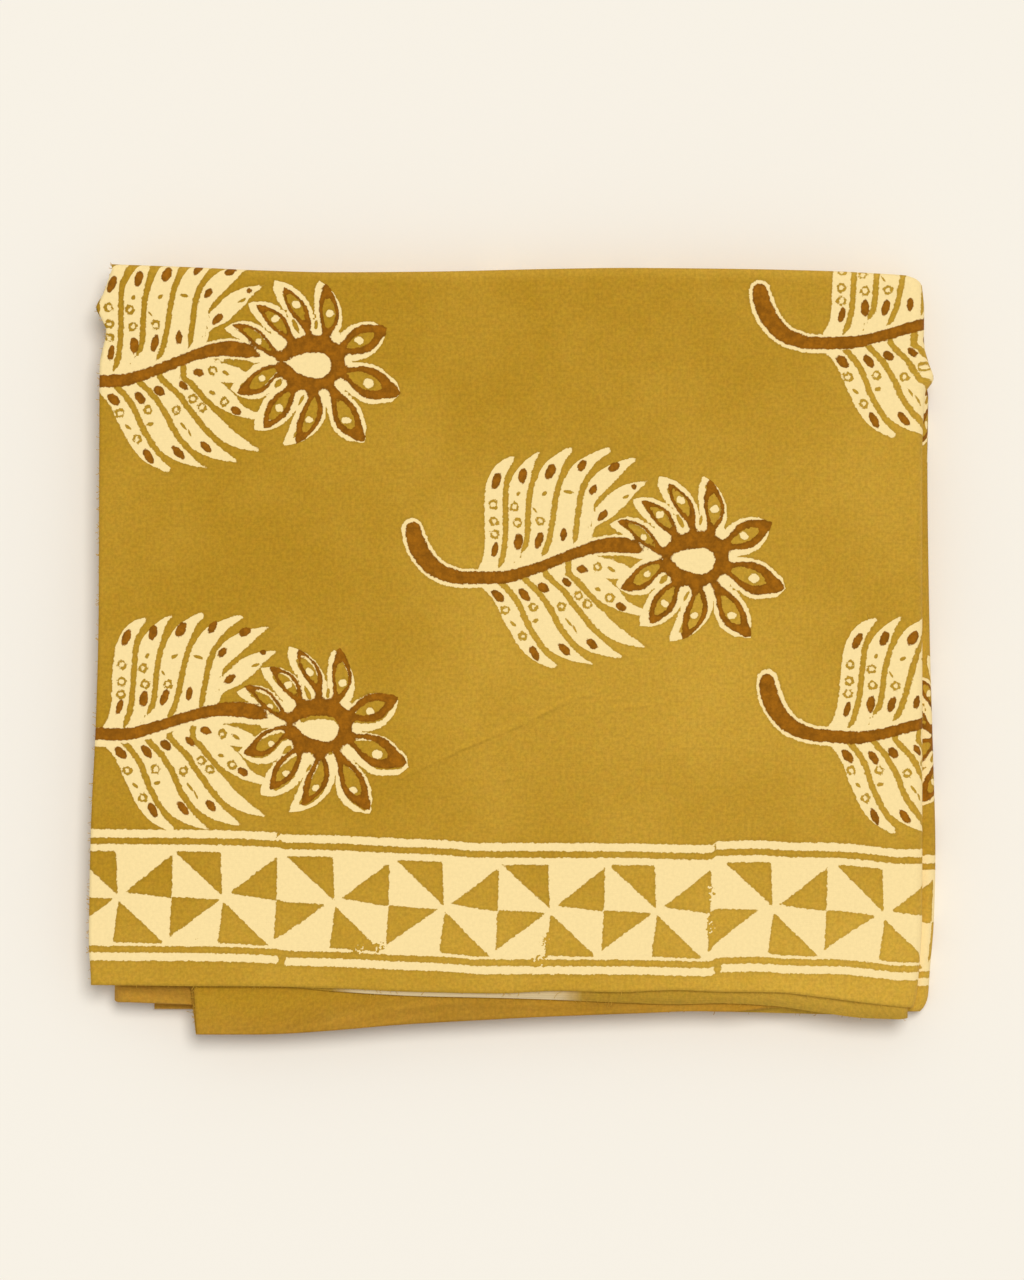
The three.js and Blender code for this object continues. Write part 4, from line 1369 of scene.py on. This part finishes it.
def thread_points(sheet, settings):
    """Where loose threads leave the cloth's rims, with each one's direction, and which are long."""
    random = np.random.default_rng(settings.seed)
    middle = (sheet.face + sheet.wrong) / 2
    rims = ((middle[0], 180, settings.fray_spacing), (middle[-1], 180, settings.fray_spacing),
            (middle[:, 0], -90, settings.selvedge_spacing),
            (middle[:, -1], -90, settings.selvedge_spacing))
    points, angles, rises = [], [], []
    for rim, outward, spacing in rims:
        steps = np.linalg.norm(np.diff(rim, axis=0), axis=1)
        at = np.concatenate([[0], np.cumsum(steps)])
        count = int(at[-1] * MM / spacing)
        chosen = np.sort(random.uniform(0, at[-1], count))
        points.append(np.stack([np.interp(chosen, at, rim[:, k]) for k in range(3)], axis=1))
        angles.append(outward + random.normal(0, 32, count))
        rises.append(random.normal(0, 8, count))
    points.append(np.stack([LONG_THREADS[name] for name in "xyz"], axis=1))
    angles.append(LONG_THREADS["angle"])
    rises.append(LONG_THREADS["rise"])
    points, angle, rise = (np.concatenate(parts) for parts in (points, angles, rises))
    rise = np.radians(np.where(points[:, 2] < 2, np.abs(rise), rise))
    angle = np.radians(angle)
    direction = np.stack([np.cos(angle) * np.cos(rise), np.sin(angle) * np.cos(rise),
                          np.sin(rise)], axis=1)
    is_long = np.arange(len(points)) >= len(points) - len(LONG_THREADS["x"])
    return points * MM, direction, is_long


def thread_tree():
    """Nodes that set a bent, three-sided thread on each point, along that point's direction."""
    tree = bpy.data.node_groups.new("Loose threads", "GeometryNodeTree")
    tree.interface.new_socket("Geometry", in_out="INPUT", socket_type="NodeSocketGeometry")
    sockets = {}
    for name, kind in (("Thread Radius", "NodeSocketFloat"), ("Short Length", "NodeSocketFloat"),
                       ("Long Length", "NodeSocketFloat"), ("Seed", "NodeSocketInt"),
                       ("Yarn", "NodeSocketMaterial")):
        sockets[name] = tree.interface.new_socket(name, in_out="INPUT", socket_type=kind)
    tree.interface.new_socket("Geometry", in_out="OUTPUT", socket_type="NodeSocketGeometry")
    group = tree.nodes.new("NodeGroupInput").outputs

    def named(name, data_type):
        return add(tree, "GeometryNodeInputNamedAttribute", name, data_type=data_type)

    ring = add(tree, "GeometryNodeCurvePrimitiveCircle", 3, group["Thread Radius"])
    towards = add(tree, "FunctionNodeAlignRotationToVector", None, None,
                  named("Direction", "FLOAT_VECTOR"), axis="Z")
    spin = add(tree, "FunctionNodeRandomValue", named={"Seed": group["Seed"]}, data_type="FLOAT")
    spin = add(tree, "ShaderNodeMath", spin, 2 * math.pi, operation="MULTIPLY")
    spin = add(tree, "ShaderNodeCombineXYZ", 0.0, 0.0, spin)
    turned = add(tree, "FunctionNodeRotateRotation", towards, spin, rotation_space="LOCAL")
    size = add(tree, "FunctionNodeRandomValue", named={"Seed": group["Seed"]}, data_type="FLOAT")
    size = add(tree, "ShaderNodeMapRange", size, 0.0, 1.0, 0.5, 1.4)
    joined = tree.nodes.new("GeometryNodeJoinGeometry")
    for length, is_long in ((group["Short Length"], False), (group["Long Length"], True)):
        bend = add(tree, "ShaderNodeVectorMath", (0.22, 0.1, 0.55), named={"Scale": length},
                   operation="SCALE")
        tip = add(tree, "ShaderNodeVectorMath", (-0.2, 0.0, 0.92), named={"Scale": length},
                  operation="SCALE")
        curve = add(tree, "GeometryNodeCurveQuadraticBezier", 5, (0.0, 0.0, 0.0), bend, tip)
        thread = add(tree, "GeometryNodeCurveToMesh", named={
            "Curve": curve, "Profile Curve": ring, "Fill Caps": True})
        chosen = named("Long", "BOOLEAN")
        if not is_long:
            chosen = add(tree, "FunctionNodeBooleanMath", chosen, operation="NOT")
        placed = add(tree, "GeometryNodeInstanceOnPoints", named={
            "Points": group["Geometry"], "Selection": chosen, "Instance": thread,
            "Rotation": turned, "Scale": size})
        tree.links.new(placed, joined.inputs[0])
    real = add(tree, "GeometryNodeRealizeInstances", joined.outputs[0])
    real = add(tree, "GeometryNodeSetMaterial", named={"Geometry": real, "Material": group["Yarn"]})
    output = tree.nodes.new("NodeGroupOutput")
    tree.links.new(real, output.inputs[0])
    return tree, sockets


class FABRIC_OT_loose_threads(bpy.types.Operator):
    """Makes the short frays along the cloth's rims and the few long loose threads"""

    bl_idname = "fabric.loose_threads"
    bl_label = "Loose Threads"

    def execute(self, context):
        settings = context.scene.fabric_threads
        sheet = Sheet(context.scene.fabric_fold)
        places, direction, is_long = thread_points(sheet, settings)
        base = bpy.data.meshes.new("thread_roots")
        base.from_pydata(places.tolist(), [], [])
        base.attributes.new("Direction", "FLOAT_VECTOR", "POINT").data.foreach_set(
            "vector", direction.astype(np.float32).ravel())
        base.attributes.new("Long", "BOOLEAN", "POINT").data.foreach_set("value", is_long)
        roots = bpy.data.objects.new("thread_roots", base)
        context.scene.collection.objects.link(roots)
        tree, sockets = thread_tree()
        modifier = roots.modifiers.new("Loose threads", "NODES")
        modifier.node_group = tree
        yarn = yarn_material(context.scene.fabric_print)
        values = {"Thread Radius": settings.radius, "Short Length": settings.short_length,
                  "Long Length": settings.long_length, "Seed": settings.seed, "Yarn": yarn}
        for name, value in values.items():
            modifier[sockets[name].identifier] = value
        evaluated = roots.evaluated_get(context.evaluated_depsgraph_get())
        mesh = bpy.data.meshes.new_from_object(evaluated)
        mesh.name = "loose_threads"
        roots.modifiers.remove(modifier)
        bpy.data.objects.remove(roots)
        if not mesh.polygons:
            raise RuntimeError("no loose threads were made")
        threads = new_piece("loose_threads", mesh, yarn)
        return {"FINISHED"}


class FABRIC_OT_stage(bpy.types.Operator):
    """Makes the studio floor, the soft light and the camera straight above"""

    bl_idname = "fabric.stage"
    bl_label = "Stage"

    def execute(self, context):
        scene, stage = context.scene, context.scene.fabric_stage
        scene.view_settings.view_transform = "Standard"
        self.floor(scene, stage)
        self.light(scene, stage)
        self.camera(scene, stage)
        return {"FINISHED"}

    def floor(self, scene, stage):
        """A large board, painted matt, so that it shows no highlight."""
        material = matt_material("Matt painted board", stage.floor, 1.0, 0.0)
        half = FLOOR_HALF
        mesh = bpy.data.meshes.new("studio_floor")
        mesh.from_pydata([(-half, -half, 0), (half, -half, 0), (half, half, 0), (-half, half, 0)],
                         [], [(0, 1, 2, 3)])
        mesh.materials.append(material)
        floor = bpy.data.objects.new("studio_floor", mesh)
        scene.collection.objects.link(floor)

    def light(self, scene, stage):
        """An even white sky and one broad sun, which together light a level face at full strength."""
        world = bpy.data.worlds.new("Studio")
        world.use_nodes = True
        background = world.node_tree.nodes["Background"]
        background.inputs["Color"].default_value = (1.0, 1.0, 1.0, 1.0)
        background.inputs["Strength"].default_value = 1 - stage.sun_share
        scene.world = world
        sun = bpy.data.lights.new("soft_sun", "SUN")
        sun.angle = math.radians(SUN_SPREAD)
        from_sun = mathutils.Vector(FROM_SUN).normalized()
        sun.energy = math.pi * stage.sun_share / from_sun.z
        lamp = bpy.data.objects.new("soft_sun", sun)
        lamp.rotation_mode = "QUATERNION"
        lamp.rotation_quaternion = from_sun.to_track_quat("Z", "Y")
        scene.collection.objects.link(lamp)

    def camera(self, scene, stage):
        """Straight above, far enough off for the framed length to fill the picture's long side."""
        data = bpy.data.cameras.new("above")
        data.lens = stage.lens
        data.sensor_width = SENSOR
        camera = bpy.data.objects.new("above", data)
        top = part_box(NODE)[1].z
        camera.location = (CAMERA_OFF_MIDDLE["x"] * MM, CAMERA_OFF_MIDDLE["y"] * MM,
                           top + stage.long_side * stage.lens / SENSOR)
        data.clip_start = 0.05
        data.clip_end = 60.0
        scene.collection.objects.link(camera)
        scene.camera = camera


class FABRIC_PT_pieces(bpy.types.Panel):
    """Lists the pieces of the folded fabric"""

    bl_idname = "FABRIC_PT_pieces"
    bl_label = "Folded Fabric"
    bl_space_type = "VIEW_3D"
    bl_region_type = "UI"
    bl_category = "Fabric"

    def draw(self, context):
        for kind in (FABRIC_OT_folded_cloth, FABRIC_OT_loose_threads, FABRIC_OT_stage):
            self.layout.operator(kind.bl_idname)
        for group in (context.scene.fabric_fold, context.scene.fabric_print,
                      context.scene.fabric_threads, context.scene.fabric_stage):
            box = self.layout.box()
            for name in group.bl_rna.properties.keys():
                if name not in ("rna_type", "name"):
                    box.prop(group, name)


CLASSES = (FoldSettings, PrintSettings, ThreadSettings, StageSettings, FABRIC_OT_folded_cloth,
           FABRIC_OT_loose_threads, FABRIC_OT_stage, FABRIC_PT_pieces)
GROUPS = {"fabric_fold": FoldSettings, "fabric_print": PrintSettings,
          "fabric_threads": ThreadSettings, "fabric_stage": StageSettings}


def register():
    for kind in CLASSES:
        bpy.utils.register_class(kind)
    for name, kind in GROUPS.items():
        setattr(bpy.types.Scene, name, bpy.props.PointerProperty(type=kind))


def unregister():
    for name in GROUPS:
        delattr(bpy.types.Scene, name)
    for kind in reversed(CLASSES):
        bpy.utils.unregister_class(kind)


def main():
    """Makes the pieces and the stage."""
    register()
    bpy.ops.fabric.folded_cloth()
    bpy.ops.fabric.loose_threads()
    bpy.ops.fabric.stage()


if __name__ == "__main__":
    main()
